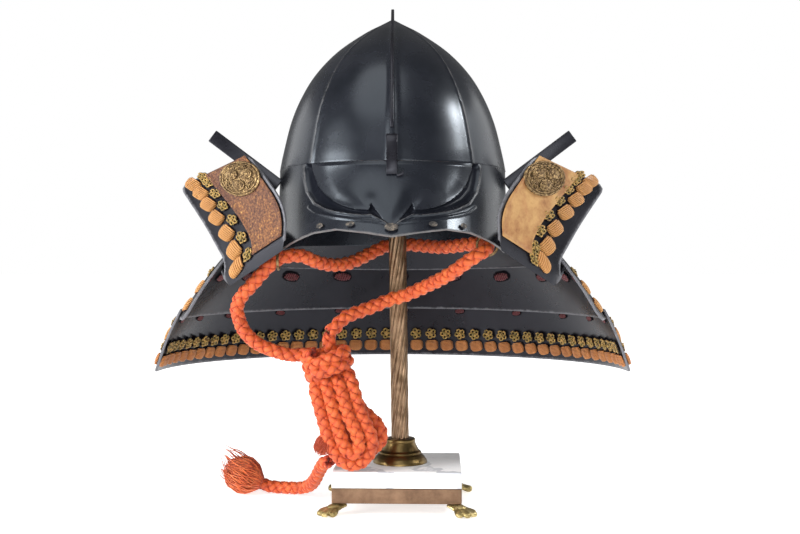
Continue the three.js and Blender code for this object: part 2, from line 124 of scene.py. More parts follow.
def makeMottle():  # soft patches, and a bump that follows them
    group, given, result = newGroup("mottle", {"Scale": 20.0, "Low": 0.4, "High": 0.6, "Depth": 0.1},
                                    ("Mask", "Normal"))
    noise = addNoise(group, given["Scale"], 8.0, 0.62)
    spread = addNode(group, "ShaderNodeMapRange", {
        "Value": noise, "From Min": given["Low"], "From Max": given["High"],
    })
    bump = addNode(group, "ShaderNodeBump", {"Distance": 0.001, "Height": noise, "Strength": given["Depth"]})
    feed(group, result["Mask"], spread.outputs["Result"])
    feed(group, result["Normal"], bump.outputs["Normal"])
    return group


def makeThreadsAndShade():  # fine threads that run along a strand, from its own UV map, with painted shade on the strand's sides
    group, given, result = newGroup("threads", {"Across": 8.0, "Slant": 0.5, "Depth": 0.4},
                                    ("Mask", "Normal"))
    where = addNode(group, "ShaderNodeTexCoord")
    along = addNode(group, "ShaderNodeSeparateXYZ", {"Vector": where.outputs["UV"]}).outputs
    turns = addMath(group, "MULTIPLY", along["X"], given["Across"])
    slants = addMath(group, "MULTIPLY", along["Y"], given["Slant"])
    wave = addMath(group, "SINE", addMath(group, "ADD", turns, slants))
    threaded = addMath(group, "MULTIPLY_ADD", wave, 0.8, addNoise(group, 900.0, 3.0, 0.5))
    bump = addNode(group, "ShaderNodeBump", {
        "Distance": 0.0004, "Height": threaded, "Strength": given["Depth"],
    })
    outwards = addMath(group, "MULTIPLY_ADD", along["X"], 2 * math.pi, -math.pi / 2)
    crest = addMath(group, "COSINE", outwards)  # a painted highlight where the strand faces outwards, painted shade on its sides
    lit = addMath(group, "MULTIPLY_ADD", crest, 2.1, threaded)
    spread = addNode(group, "ShaderNodeMapRange", {"Value": lit, "From Min": -1.3, "From Max": 3.5})
    feed(group, result["Mask"], spread.outputs["Result"])
    feed(group, result["Normal"], bump.outputs["Normal"])
    return group


def makeEdgeWearAndHighlight():  # rubbed patches and painted highlights along the edges that the mesh's own "edge" values mark
    group, given, result = newGroup("edgeWearAndHighlight", {"Scale": 120.0, "Reach": 1.0, "Amount": 0.6}, ("Mask",))
    marked = addNode(group, "ShaderNodeAttribute", attribute_name="edge")
    near = addMath(group, "MULTIPLY", marked.outputs["Fac"], given["Reach"])
    wornAndHighlighted = addMath(group, "ADD", near, addNoise(group, given["Scale"], 6.0, 0.7))
    spread = addNode(group, "ShaderNodeMapRange", {"Value": wornAndHighlighted, "From Min": 0.92, "From Max": 1.3})
    feed(group, result["Mask"], addMath(group, "MULTIPLY", spread.outputs["Result"], given["Amount"]))
    return group


mottle = makeMottle()
threads = makeThreadsAndShade()
edgeWearAndHighlight = makeEdgeWearAndHighlight()


def newMaterial(name, **constants):
    material = bpy.data.materials.new(name)
    material.use_nodes = True
    tree = material.node_tree
    shader = tree.nodes["Principled BSDF"]
    for socket, value in constants.items():
        shader.inputs[socket.replace("_", " ")].default_value = value
    return material, tree, shader


def addGroup(tree, group, **values):
    return addNode(tree, "ShaderNodeGroup", values, node_tree=group).outputs


def addRamp(tree, source, stops):
    ramp = addNode(tree, "ShaderNodeValToRGB", {"Fac": source})
    while len(ramp.color_ramp.elements) < len(stops):
        ramp.color_ramp.elements.new(0.5)
    for element, (position, colour) in zip(ramp.color_ramp.elements, stops):
        element.position = position
        element.color = (*colour, 1)
    return ramp.outputs["Color"]


def addRange(tree, source, low, high):
    spread = addNode(tree, "ShaderNodeMapRange", {"Value": source, "To Min": low, "To Max": high})
    return spread.outputs["Result"]


def addTint(tree, colour, tint, share):  # a colour multiplied by another one
    mix = addNode(tree, "ShaderNodeMix", {"Factor": share, "A": colour, "B": tint}, data_type="RGBA",
                  blend_type="MULTIPLY")
    return mix.outputs["Result"]


def makeMottled(name, settings, **constants):  # a finish whose colour and roughness drift in soft patches
    material, tree, shader = newMaterial(name, **constants)
    patches = addGroup(tree, mottle, Scale=settings["scale"], Low=settings["low"], High=settings["high"],
                       Depth=settings["depth"])
    feed(tree, shader.inputs["Base Color"], addRamp(tree, patches["Mask"], settings["colours"]))
    feed(tree, shader.inputs["Roughness"], addRange(tree, patches["Mask"], *settings["roughness"]))
    feed(tree, shader.inputs["Normal"], patches["Normal"])
    return material


silkSheen = {"weight": 0.12, "roughness": 0.4}


def makeThreaded(name, settings, **constants):  # silk, with threads along its strands and painted shade on their sides
    material, tree, shader = newMaterial(name, Sheen_Weight=silkSheen["weight"],
                                         Sheen_Roughness=silkSheen["roughness"], **constants)
    lines = addGroup(tree, threads, Across=settings["across"], Slant=settings["slant"],
                     Depth=settings["depth"])
    patches = addGroup(tree, mottle, Scale=settings["patches"], Low=0.35, High=0.65, Depth=0.0)
    colour = addRamp(tree, lines["Mask"], settings["colours"])
    tint = addRamp(tree, patches["Mask"], settings["tints"])
    feed(tree, shader.inputs["Base Color"], addTint(tree, colour, tint, settings["patchShare"]))
    feed(tree, shader.inputs["Roughness"], addRange(tree, lines["Mask"], 0.75, 0.5))
    feed(tree, shader.inputs["Normal"], lines["Normal"])
    return material


def makeLacquer(name, settings, **constants):  # mottled, rubbed and given a painted highlight along its edges, with painted shade that takes the shine out of its hollows
    material = makeMottled(name, settings, **constants)
    tree = material.node_tree
    shader = tree.nodes["Principled BSDF"]
    wearAndHighlight = addGroup(tree, edgeWearAndHighlight, **settings["wearAndHighlight"])["Mask"]
    wornAndHighlighted = (("Base Color", "RGBA", (*settings["wornAndHighlightColour"], 1)),
            ("Roughness", "FLOAT", settings["wornAndHighlightRoughness"]))
    for socket, kind, value in wornAndHighlighted:
        whole = shader.inputs[socket].links[0].from_socket
        mix = addNode(tree, "ShaderNodeMix", {"Factor": wearAndHighlight, "A": whole, "B": value}, data_type=kind)
        feed(tree, shader.inputs[socket], mix.outputs["Result"])
    # painted shade: where the brow marks it, the lacquer loses its shine and goes dark
    paintedShade = addNode(tree, "ShaderNodeAttribute", attribute_name="paintedShade").outputs["Fac"]
    shine = addRange(tree, paintedShade, settings["shine"], settings["shineInPaintedShade"])
    feed(tree, shader.inputs["Specular IOR Level"], shine)
    return material


lacquer = makeLacquer("blackLacquer", {
    "scale": 26, "low": 0.3, "high": 0.75, "depth": 0.012,
    "colours": [(0, (0.005, 0.006, 0.009)), (1, (0.012, 0.013, 0.018))],
    "roughness": (0.23, 0.31), "shine": 0.52,
    # rubbing and a painted highlight along its edges, ribs and brow lines
    "wearAndHighlight": {"Scale": 140, "Reach": 0.75, "Amount": 0.7}, "wornAndHighlightColour": (0.15, 0.14, 0.135),
    "wornAndHighlightRoughness": 0.5, "shineInPaintedShade": 0.03,
}, Specular_Tint=(0.8, 0.9, 1.0, 1.0))
lameLacquer = makeLacquer("lameLacquer", {
    "scale": 32, "low": 0.3, "high": 0.75, "depth": 0.02,
    "colours": [(0, (0.004, 0.0038, 0.0055)), (1, (0.009, 0.0085, 0.012))],
    "roughness": (0.24, 0.36), "shine": 0.36,
    # a bluish painted highlight along the lames' edges, with some rubbing
    "wearAndHighlight": {"Scale": 160, "Reach": 0.85, "Amount": 0.7}, "wornAndHighlightColour": (0.19, 0.19, 0.205),
    "wornAndHighlightRoughness": 0.5, "shineInPaintedShade": 0.03,
}, Specular_Tint=(0.85, 0.88, 1.0, 1.0))
agedBrass = makeMottled("agedBrass", {
    "scale": 45, "low": 0.3, "high": 0.7, "depth": 0.03,
    "colours": [(0, (0.13, 0.085, 0.03)), (1, (0.27, 0.19, 0.08))],
    "roughness": (0.4, 0.28),
}, Metallic=1.0)
castBrass = makeMottled("castBrass", {
    "scale": 110, "low": 0.35, "high": 0.65, "depth": 0.5,
    "colours": [(0, (0.16, 0.115, 0.04)), (0.5, (0.42, 0.33, 0.14)), (1, (0.62, 0.52, 0.27))],
    "roughness": (0.5, 0.3),
}, Metallic=0.8)
rivetMetal = makeMottled("rivetMetal", {
    "scale": 380, "low": 0.4, "high": 0.62, "depth": 0.25,
    "colours": [(0, (0.01, 0.01, 0.011)), (0.5, (0.035, 0.03, 0.026)), (1, (0.16, 0.13, 0.1))],
    "roughness": (0.7, 0.6),
})
baseBronze = makeMottled("baseBronze", {
    "scale": 60, "low": 0.35, "high": 0.65, "depth": 0.08,
    "colours": [(0, (0.13, 0.072, 0.04)), (1, (0.23, 0.135, 0.078))], "roughness": (0.5, 0.4),
}, Metallic=0.65)
columnBronze = makeMottled("columnBronze", {
    "scale": 90, "low": 0.35, "high": 0.65, "depth": 0.08,
    "colours": [(0, (0.12, 0.07, 0.035)), (1, (0.27, 0.175, 0.105))], "roughness": (0.42, 0.28),
}, Metallic=0.8)
gilt = makeMottled("tarnishedGilt", {
    "scale": 420, "low": 0.36, "high": 0.64, "depth": 0.35,
    "colours": [(0, (0.06, 0.036, 0.02)), (0.5, (0.19, 0.12, 0.055)), (1, (0.36, 0.25, 0.115))],
    "roughness": (0.6, 0.35),
}, Metallic=0.85)


def makeStained(name, settings, **constants):  # a grain with broad stains over it
    material = makeMottled(name, settings, **constants)
    tree = material.node_tree
    shader = tree.nodes["Principled BSDF"]
    stains = addGroup(tree, mottle, Scale=settings["stainScale"], Low=0.35, High=0.65, Depth=0.0)
    grain = shader.inputs["Base Color"].links[0].from_socket
    stain = addRamp(tree, stains["Mask"], settings["stains"])
    feed(tree, shader.inputs["Base Color"], addTint(tree, grain, stain, 1.0))
    return material


brownLeather = makeStained("brownLeather", {
    "scale": 480, "low": 0.34, "high": 0.7, "depth": 0.9,
    "colours": [(0, (0.04, 0.016, 0.012)), (0.35, (0.095, 0.036, 0.018)), (0.65, (0.15, 0.06, 0.024)),
                (0.88, (0.26, 0.13, 0.035)), (1, (0.34, 0.2, 0.07))],
    "stainScale": 22, "stains": [(0, (0.7, 0.62, 0.75)), (0.5, (1.05, 1, 0.9)), (1, (1.5, 1.4, 0.85))],
    "roughness": (0.8, 0.6),
})
tanLeather = makeStained("tanLeather", {
    "scale": 55, "low": 0.3, "high": 0.7, "depth": 0.4,
    "colours": [(0, (0.16, 0.04, 0.018)), (0.25, (0.29, 0.14, 0.05)), (0.5, (0.38, 0.21, 0.08)),
                (0.8, (0.46, 0.28, 0.11)), (1, (0.3, 0.15, 0.05))],
    "stainScale": 16, "stains": [(0, (0.75, 0.5, 0.42)), (0.35, (0.95, 0.9, 0.8)), (1, (1.1, 1.08, 1))],
    "roughness": (0.75, 0.55),
})


marbleFinish = {
    "roughness": 0.2, "glow": 0.16, "cloudScale": 20.0,
    "clouds": [(0, (0.62, 0.62, 0.64)), (0.45, (0.85, 0.85, 0.85))],
    "veins": [(0, (1, 1, 1)), (0.86, (1, 1, 1)), (0.97, (0.55, 0.56, 0.6))],
}


def makeMarble():  # white stone, with thin grey veins that wander and a few cloudy patches, and a faint painted glow
    material, tree, shader = newMaterial("whiteMarble", Roughness=marbleFinish["roughness"],
                                         Emission_Color=(1, 1, 1, 1), Emission_Strength=marbleFinish["glow"])
    clouds = addGroup(tree, mottle, Scale=marbleFinish["cloudScale"], Low=0.3, High=0.7, Depth=0.0)
    where = addNode(tree, "ShaderNodeTexCoord")
    veins = addNode(tree, "ShaderNodeTexWave", {
        "Vector": where.outputs["Object"], "Scale": 6.5, "Distortion": 11.0, "Detail": 5.0,
        "Detail Scale": 1.6, "Detail Roughness": 0.6,
    }, bands_direction="DIAGONAL")
    stone = addRamp(tree, clouds["Mask"], marbleFinish["clouds"])
    lines = addRamp(tree, veins.outputs["Fac"], marbleFinish["veins"])
    feed(tree, shader.inputs["Base Color"], addTint(tree, stone, lines, 1.0))
    return material


marble = makeMarble()
orangeSilk = makeThreaded("orangeSilk", {
    "across": 113, "slant": 700, "depth": 0.35, "patches": 70, "patchShare": 0.6,
    "colours": [(0, (0.13, 0.007, 0.002)), (0.35, (0.4, 0.03, 0.005)), (0.7, (0.56, 0.074, 0.008)),
                (1, (0.66, 0.125, 0.022))],
    "tints": [(0, (0.66, 0.5, 0.42)), (0.5, (1, 1, 1)), (1, (1.1, 1.45, 1.4))],
})
brushSilk = makeThreaded("brushSilk", {
    "across": 12, "slant": 300, "depth": 0.2, "patches": 120, "patchShare": 0.6,
    "colours": [(0, (0.28, 0.028, 0.006)), (0.4, (0.52, 0.075, 0.013)), (1, (0.78, 0.2, 0.05))],
    "tints": [(0, (0.7, 0.6, 0.5)), (0.5, (1, 1, 1)), (1, (1.1, 1.35, 1.5))],
})
knotSilk = makeThreaded("knotSilk", {
    "across": 44, "slant": 500, "depth": 0.4, "patches": 60, "patchShare": 0.45,
    "colours": [(0, (0.16, 0.05, 0.02)), (0.45, (0.4, 0.165, 0.042)), (1, (0.62, 0.33, 0.1))],
    "tints": [(0, (0.8, 0.66, 0.5)), (1, (1, 1, 1))],
})
rimSilk = makeThreaded("rimSilk", {
    "across": 44, "slant": 500, "depth": 0.4, "patches": 60, "patchShare": 0.6,
    "colours": [(0, (0.13, 0.035, 0.01)), (0.45, (0.44, 0.155, 0.035)), (1, (0.62, 0.27, 0.08))],
    "tints": [(0, (0.7, 0.55, 0.42)), (1, (1, 1, 1))],
})
bossThread = makeThreaded("bossThread", {
    "across": 19, "slant": 3800, "depth": 0.5, "patches": 300, "patchShare": 0.9,
    "colours": [(0, (0.03, 0.015, 0.01)), (0.5, (0.24, 0.15, 0.04)), (1, (0.62, 0.43, 0.15))],
    "tints": [(0, (0.22, 0.1, 0.08)), (0.4, (0.45, 0.5, 0.18)), (0.6, (0.9, 0.75, 0.5)),
              (1, (1.05, 0.92, 0.7))],
})
maroonSilk = makeThreaded("maroonSilk", {
    "across": 24, "slant": 2600, "depth": 0.7, "patches": 60, "patchShare": 0.5,
    "colours": [(0, (0.02, 0.003, 0.005)), (1, (0.17, 0.013, 0.018))],
    "tints": [(0, (0.6, 0.5, 0.5)), (1, (1, 1, 1))],
})
# painted shade: nearly black, for the insides of lacing holes and the gaps between boss loops
paintedHoleShade = makeMottled("paintedHoleShade", {
    "scale": 200, "low": 0.3, "high": 0.7, "depth": 0.1,
    "colours": [(0, (0.003, 0.002, 0.003)), (1, (0.012, 0.007, 0.01))], "roughness": (0.9, 0.8),
}, Specular_IOR_Level=0.1)
print("materials ready")


# Routes, strands and braids
stretchSteps = 24  # points worked out between each two of a route's own


def curveBetween(a, b, c, d, t):  # a Catmull-Rom curve: t goes from 0 at b to 1 at c
    return 0.5 * (2 * b + (c - a) * t + (2 * a - 5 * b + 4 * c - d) * t**2 + (3 * b - a - 3 * c + d) * t**3)


def reachOf(line):  # how far along a line each of its points lies
    return np.concatenate([[0], np.cumsum(np.linalg.norm(np.diff(line, axis=0), axis=1))])


def smoothRoute(points, step):  # a smooth line through the points, cut into even steps
    p = np.asarray(points, float)
    p = np.vstack([2 * p[0] - p[1], p, 2 * p[-1] - p[-2]])
    t = np.linspace(0, 1, stretchSteps, endpoint=False)[:, None]
    stretches = [curveBetween(*four, t) for four in zip(p, p[1:], p[2:], p[3:])]
    line = np.vstack([*stretches, p[-2:-1]])
    reach = reachOf(line)
    even = np.linspace(0, reach[-1], max(4, round(reach[-1] / step)) + 1)
    return np.column_stack([np.interp(even, reach, line[:, k]) for k in range(3)]), even


def routeFrames(route):  # a side and a top direction for each point, turning as little as possible
    tangent = unit(np.gradient(route, axis=0))
    side = np.zeros_like(route)
    first = np.cross(tangent[0], (0, 0, 1) if abs(tangent[0][2]) < 0.9 else (1, 0, 0))
    side[0] = unit(first)
    for i in range(1, len(route)):
        side[i] = unit(side[i - 1] - tangent[i] * side[i - 1].dot(tangent[i]))
    return tangent, side, np.cross(tangent, side)


def tubeData(route, wide, thick, sides, up=None, taper=None):  # one strand: its vertices, faces and UVs
    tangent, side, top = routeFrames(route)
    if up is not None:
        top = unit(up - tangent * (up * tangent).sum(1)[:, None])
        side = np.cross(top, tangent)
    size = np.ones(len(route)) if taper is None else taper
    angle = np.arange(sides) * 2 * math.pi / sides
    ring = (np.cos(angle)[None, :, None] * side[:, None] * wide
            + np.sin(angle)[None, :, None] * top[:, None] * thick)
    vertices = (route[:, None] + ring * size[:, None, None]).reshape(-1, 3)
    i, j = np.meshgrid(np.arange(len(route) - 1), np.arange(sides), indexing="ij")
    k = (j + 1) % sides
    this, following = i * sides, (i + 1) * sides
    faces = np.stack([this + j, this + k, following + k, following + j], -1).reshape(-1, 4)
    reach = reachOf(route) / 1000
    u = np.stack([j, j + 1, j + 1, j], -1).reshape(-1, 4) / sides
    v = np.stack([reach[i], reach[i], reach[i + 1], reach[i + 1]], -1).reshape(-1, 4)
    caps = [list(range(sides))[::-1], [(len(route) - 1) * sides + n for n in range(sides)]]
    return vertices, faces, np.stack([u, v], -1).reshape(-1, 2), caps


def meshFromTubes(name, tubes, material):
    vertices, faces, uvs, start = [], [], [], 0
    for points, quads, coordinates, caps in tubes:
        vertices.append(points)
        faces.extend((quads + start).tolist())
        uvs.append(coordinates)
        for cap in caps:
            faces.append([n + start for n in cap])
            uvs.append(np.zeros((len(cap), 2)))
        start += len(points)
    mesh = bpy.data.meshes.new(name)
    mesh.from_pydata(place(np.vstack(vertices)).tolist(), [], faces)
    mesh.uv_layers.new(name="strands").data.foreach_set("uv", np.vstack(uvs).astype(np.float32).ravel())
    mesh.materials.append(material)
    piece = bpy.data.objects.new(name, mesh)
    bpy.context.collection.objects.link(piece)
    pick(piece)
    bpy.ops.object.shade_smooth()
    return piece


def belong(piece, slotName, *nodes):
    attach(piece, "root")
    if nodes:
        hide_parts(*nodes)
    return piece


def editWhole(piece, operator, **settings):  # one edit-mode operator on all of a piece
    pick(piece)
    bpy.ops.object.mode_set(mode="EDIT")
    bpy.ops.mesh.select_all(action="SELECT")
    operator(**settings)
    bpy.ops.object.mode_set(mode="OBJECT")


braid = {
    "strands": 3, "pitch": 29, "centre": 3.75, "weave": 1.25, "wide": 3.25, "thick": 1.9,
    "step": 1.5, "sides": 8,
}


def braidTubes(points, scale=1.0):  # a round braid: as many strands turn each way, over and under one another
    route, reach = smoothRoute(points, braid["step"])
    _, side, top = routeFrames(route)
    turn = 2 * math.pi * reach / (braid["pitch"] * scale)
    wide, thick = braid["wide"] * scale, braid["thick"] * scale
    tubes = []
    for way in (1, -1):
        for n in range(braid["strands"]):
            angle = way * turn + 2 * math.pi * n / braid["strands"]
            out = np.cos(angle)[:, None] * side + np.sin(angle)[:, None] * top
            radius = braid["centre"] + way * braid["weave"] * np.cos(braid["strands"] * turn)
            strand = route + out * radius[:, None] * scale
            tubes.append(tubeData(strand, wide, thick, braid["sides"], up=out))
    return tubes, route, reach[-1]


loopPoints = [
    (-72, -42, 147), (-81, -42, 146.3), (-95.2, -44, 146.3), (-110.9, -46, 150.8),
    (-124.4, -48, 157.3), (-134.8, -50, 167.5), (-139.6, -52, 178.6), (-141.6, -54, 189.7),
    (-136.8, -57, 200.7), (-127.1, -60, 210.8), (-116.2, -63.5, 223), (-102.4, -66, 234.4),
    (-84, -58, 237.5), (-69, -42, 231.5), (-54.2, -24, 228.8), (-38.7, -8, 231.6),
    (-22.9, 6, 239.3), (-6.2, 15.5, 247.2), (4.1, 18.5, 248.7), (14.4, 17, 248.7), (32.1, 6, 247),
    (48.8, -12, 245.8), (67, -31, 247.6), (80.5, -44.5, 249), (86, -62, 247), (81.5, -78, 241.5),
    (69, -80.5, 233.5), (51.6, -66, 220.7), (31.1, -43, 209.4), (9.8, -27, 199.7),
    (-0.5, -23.5, 197), (-22, -26, 188.5), (-43.1, -36, 180.6), (-53.5, -41, 170.7),
    (-57.6, -42, 167.3),
]
tailPoints = [
    (-58.6, -40.5, 47.2), (-63.5, -33, 44.5), (-68, -20, 37), (-73, -5, 26), (-80, 14, 15), (-90, 29, 9),
    (-106.3, 38, 7.3), (-116, 41.5, 7.2), (-124, 43, 8), (-131.2, 43.6, 10.4),
]
hank = {
    "top": (-63, -42, 150), "bottom": (-34, -42, 50),
    # the way that the cord takes in it: across, down and back from the middle of its top
    "route": [
        (8.8, -13, 0), (6, -3, 2), (9, 12, 8), (13, 30, 10), (14, 48, 10), (17, 62, 9.5), (23, 72, 9),
        (28, 81, 7), (28.3, 92, 5.5), (21, 99, 5), (12, 99.5, 5.5), (3.5, 93, 6.5), (0.5, 80, 7),
        (0.5, 60, 7), (1, 40, 6.5), (6, 28, 4.5), (13, 22, 1),
        (16.4, 32, -6), (16.4, 48, -8), (17, 64, -8), (19, 78, -8.5), (19.5, 92, -9), (12, 103, -8.5),
        (1, 107.5, -8), (-9, 103.5, -8), (-15, 94, -8), (-17.6, 80, -8), (-17.6, 62, -8), (-17.4, 44, -8),
        (-16.6, 30, -6), (-10, 22, -2), (-6.2, 31, -8), (-6.4, 48, -10.4), (-6.6, 64, -10.6),
        (-6.4, 80, -11.5), (-3.6, 94, -12), (4.5, 97, -12), (8.4, 88, -12), (8, 76, -11.5), (5.6, 64, -11),
        (5.4, 48, -10.6), (5.2, 32, -8), (2, 26, -1),
    ],
    "wraps": 2.4, "wrapPoints": 14, "wrapWide": 18, "wrapDeep": 12, "wrapFrom": 22, "wrapTo": 0,
}


def hankRoute():
    top, bottom = np.array(hank["top"], float), np.array(hank["bottom"], float)
    down = unit(bottom - top)
    across = np.array([-down[2], 0, down[0]])
    back = np.array([0.0, 1.0, 0.0])
    local = list(hank["route"])
    steps = round(hank["wraps"] * hank["wrapPoints"])
    for n in range(steps + 1):
        angle = math.pi / 2 + 2 * math.pi * hank["wraps"] * n / steps
        low = hank["wrapFrom"] + (hank["wrapTo"] - hank["wrapFrom"]) * n / steps
        local.append((math.cos(angle) * hank["wrapWide"], low, math.sin(angle) * hank["wrapDeep"]))
    return [top + across * a + down * d + back * b for a, d, b in local]


def addCord(name, points, node, scale=1.0):
    tubes, route, length = braidTubes(points, scale)
    piece = belong(meshFromTubes(name, tubes, orangeSilk), "orange_cord", node)
    return piece


brushes = {
    "cordBrush": {"neck": (-131.5, 43.7, 10.6), "end": (-167, 42, 28), "neckRadius": 6, "radius": 16.5,
                  "threads": 900, "thread": 0.62},
    "cordTuft": {"neck": (-58, -46.5, 73), "end": (-68, -49.4, 56), "neckRadius": 3, "radius": 7.6,
                 "threads": 240, "thread": 0.55},
}
brushShape = {  # how wide it is along its length, from the neck on, and how its threads differ
    "shares": [0, 0.12, 0.3, 0.55, 0.8, 0.93, 1], "swell": [0.6, 0.92, 1, 0.84, 0.6, 0.36],
    "shortest": 0.82, "rounded": 0.08, "curl": 1.5, "curlReach": 0.6,
    "stray": 0.6, "moreStray": 0.9, "strayEach": 12, "wisp": (-0.3, 0, 0.85), "wispEach": 50,
}


def addBrush(name, node):  # loose threads that spread from a bound neck
    brush = brushes[name]
    neck, end = np.array(brush["neck"], float), np.array(brush["end"], float)
    _, side, top = routeFrames(np.linspace(neck, end, 4))
    side, top = side[0], top[0]
    shares = np.linspace(0, 1, 10)
    radii = [brush["neckRadius"], *(brush["radius"] * swell for swell in brushShape["swell"])]
    swell = np.interp(shares, brushShape["shares"], radii)
    taper = np.interp(shares, [0, 0.8, 1], [1, 1, 0.4])
    tubes = []
    for n in range(brush["threads"]):
        angle = random.uniform(0, 2 * math.pi)
        out = math.cos(angle) * side + math.sin(angle) * top
        aside = math.cos(angle + 1.57) * side + math.sin(angle + 1.57) * top
        spread = math.sqrt(random.uniform(0.02, 1))
        reach = random.uniform(brushShape["shortest"], 1.0) * (1 - brushShape["rounded"] * spread**2)
        curl = random.uniform(-brushShape["curl"], brushShape["curl"])
        stray = brushShape["stray"] + brushShape["moreStray"] * (n % brushShape["strayEach"] == 0)
        isWisp = n % brushShape["wispEach"] == 0
        wisp = np.array(brushShape["wisp"]) * brush["radius"] if isWisp else np.zeros(3)
        route = (neck + (end - neck) * (shares * reach)[:, None] + out * (swell * spread)[:, None]
                 + aside * (curl * swell * shares * brushShape["curlReach"])[:, None]
                 + wisp * shares[:, None] ** 3
                 + random.normal(0, stray, 3) * shares[:, None] * 2)
        tubes.append(tubeData(route, brush["thread"], brush["thread"], 4, taper=taper))
    return belong(meshFromTubes(name, tubes, brushSilk), "orange_cord", node)


def addCords():
    brush = addBrush("cordBrush", "cord_tassel")
    tuft = addBrush("cordTuft", "cord_tuft")
    loop = addCord("cordLoop", loopPoints, "cord_loop")
    wound = addCord("cordHank", hankRoute(), "cord_hank")
    tail = addCord("cordTail", tailPoints, "cord_tail", 0.98)
    print("cords:", loop.name, wound.name, tail.name)


addCamera()
addCords()


# Formed sheets: a grid primitive whose points are set from their shares across (u) and along (v)
edgeReach = 1.6  # how far the rubbing and painted highlight along an edge reach into a sheet
weldDistance = 0.00001  # in metres, for a sheet that closes on itself


def formGrid(name, across, along, shape, closed=False, marks=None):
    deselectAll()
    bpy.ops.mesh.primitive_grid_add(x_subdivisions=across, y_subdivisions=along, size=1, location=(0, 0, 0))
    piece = bpy.context.object
    piece.name = name
    shares = meshPoints(piece) + 0.5
    u, v = shares[:, 0], shares[:, 1]
    points = shape(u, v)
    piece.data.vertices.foreach_set("co", place(points).ravel())
    markEdges(piece, points.reshape(along + 1, across + 1, 3), closed)
    for mark, values in (marks(u, v) if marks else {}).items():
        setMark(piece, mark, values)
    piece.data.update()
    if closed:
        editWhole(piece, bpy.ops.mesh.remove_doubles, threshold=weldDistance)
    return piece


def reachAlong(rows, axis):  # how far each point of a grid is from its first row or column
    steps = np.linalg.norm(np.diff(rows, axis=axis), axis=2)
    return np.concatenate([np.zeros_like(steps.take([0], axis)), np.cumsum(steps, axis)], axis=axis)


def markEdges(piece, rows, closed):  # how near each point is to a free edge: 1 on it, 0 well away
    down = reachAlong(rows, 0)
    away = np.minimum(down, down[-1] - down)
    if not closed:
        sideways = reachAlong(rows, 1)
        away = np.minimum(away, np.minimum(sideways, sideways[:, -1:] - sideways))
    setMark(piece, "edge", np.exp(-((away / edgeReach) ** 1.5)))


def setMark(piece, name, values):  # a value for each point of a sheet, which its material reads
    mark = piece.data.attributes.get(name) or piece.data.attributes.new(name, "FLOAT", "POINT")
    mark.data.foreach_set("value", np.asarray(values, np.float32).ravel())


def meshPoints(piece):
    points = np.zeros(len(piece.data.vertices) * 3)
    piece.data.vertices.foreach_get("co", points)
    return points.reshape(-1, 3)


def applyModifier(piece, kind, **settings):
    modifier = piece.modifiers.new(kind.lower(), kind)
    for name, value in settings.items():
        setattr(modifier, name, value)
    pick(piece)
    bpy.ops.object.modifier_apply(modifier=modifier.name)


def finishWall(piece, wall, edge, material, smoothDegrees):  # gives a sheet its thickness and broken edges
    applyModifier(piece, "SOLIDIFY", thickness=wall / 1000, offset=-1, use_even_offset=True)
    applyModifier(piece, "BEVEL", width=edge / 1000, segments=2, limit_method="ANGLE",
                  angle_limit=math.radians(50))
    dress(piece, material, smoothDegrees)


def dress(piece, material, smoothDegrees):
    pick(piece)
    bpy.ops.object.shade_smooth_by_angle(angle=math.radians(smoothDegrees))
    piece.data.materials.clear()
    piece.data.materials.append(material)


def closeEnds(piece):  # fills the open rings at both ends
    pick(piece)
    bpy.ops.object.mode_set(mode="EDIT")
    bpy.ops.mesh.select_all(action="DESELECT")
    bpy.ops.mesh.select_non_manifold()
    bpy.ops.mesh.fill_holes(sides=0)
    bpy.ops.object.mode_set(mode="OBJECT")
    editWhole(piece, bpy.ops.mesh.normals_make_consistent, inside=False)


def addBlock(name, size, turn, middle):  # a cuboid of this size, turned and then put in its place
    deselectAll()
    bpy.ops.mesh.primitive_cube_add(size=0.001)
    block = bpy.context.object
    block.name = name
    editWhole(block, bpy.ops.transform.resize, value=size)
    block.rotation_euler = turn
    block.location = place(middle)
    bpy.ops.object.transform_apply(location=True, rotation=True, scale=True)
    return block


# Bowl
bowl = {
    "widths": [0, 12, 29, 54.2, 73.9, 87.4, 97.2, 104.6, 107.6],
    "heights": [465, 458.3, 448.6, 430.3, 409.2, 387.1, 363.1, 333.4, 318.3],
    "lengthRatio": 1.16, "wall": 2.6, "edge": 0.5,
    "ribs": [41, 90, 139, 180, 221, 270, 319], "ribHeight": 1.1, "ribWidth": 1.3, "ribTip": 14,
    # a painted highlight along the ribs, with some rubbing
    "ribRubAndHighlight": 0.85, "ribRubAndHighlightWidth": 0.9,
    # the low ridge at the front, under the crest plate
    "ridgeHeight": 3.2, "ridgeWidth": 2, "ridgeSpread": 3.5, "ridgeTip": 25,
}
seamHeight = 318


def smoothTable(rows, share):  # a smooth reading of a table, with its rows at even shares
    p = np.asarray(rows, float)
    p = np.concatenate([[2 * p[0] - p[1]], p, [2 * p[-1] - p[-2]]])
    at = np.clip(share, 0, 1) * (len(rows) - 1)
    i = np.minimum(at.astype(int), len(rows) - 2)
    return curveBetween(p[i], p[i + 1], p[i + 2], p[i + 3], at - i)


def ridge(distance, width):
    return np.exp(-((distance / width) ** 2))


def turnFrom(degrees, other):
    return np.abs((degrees - other + 180) % 360 - 180)


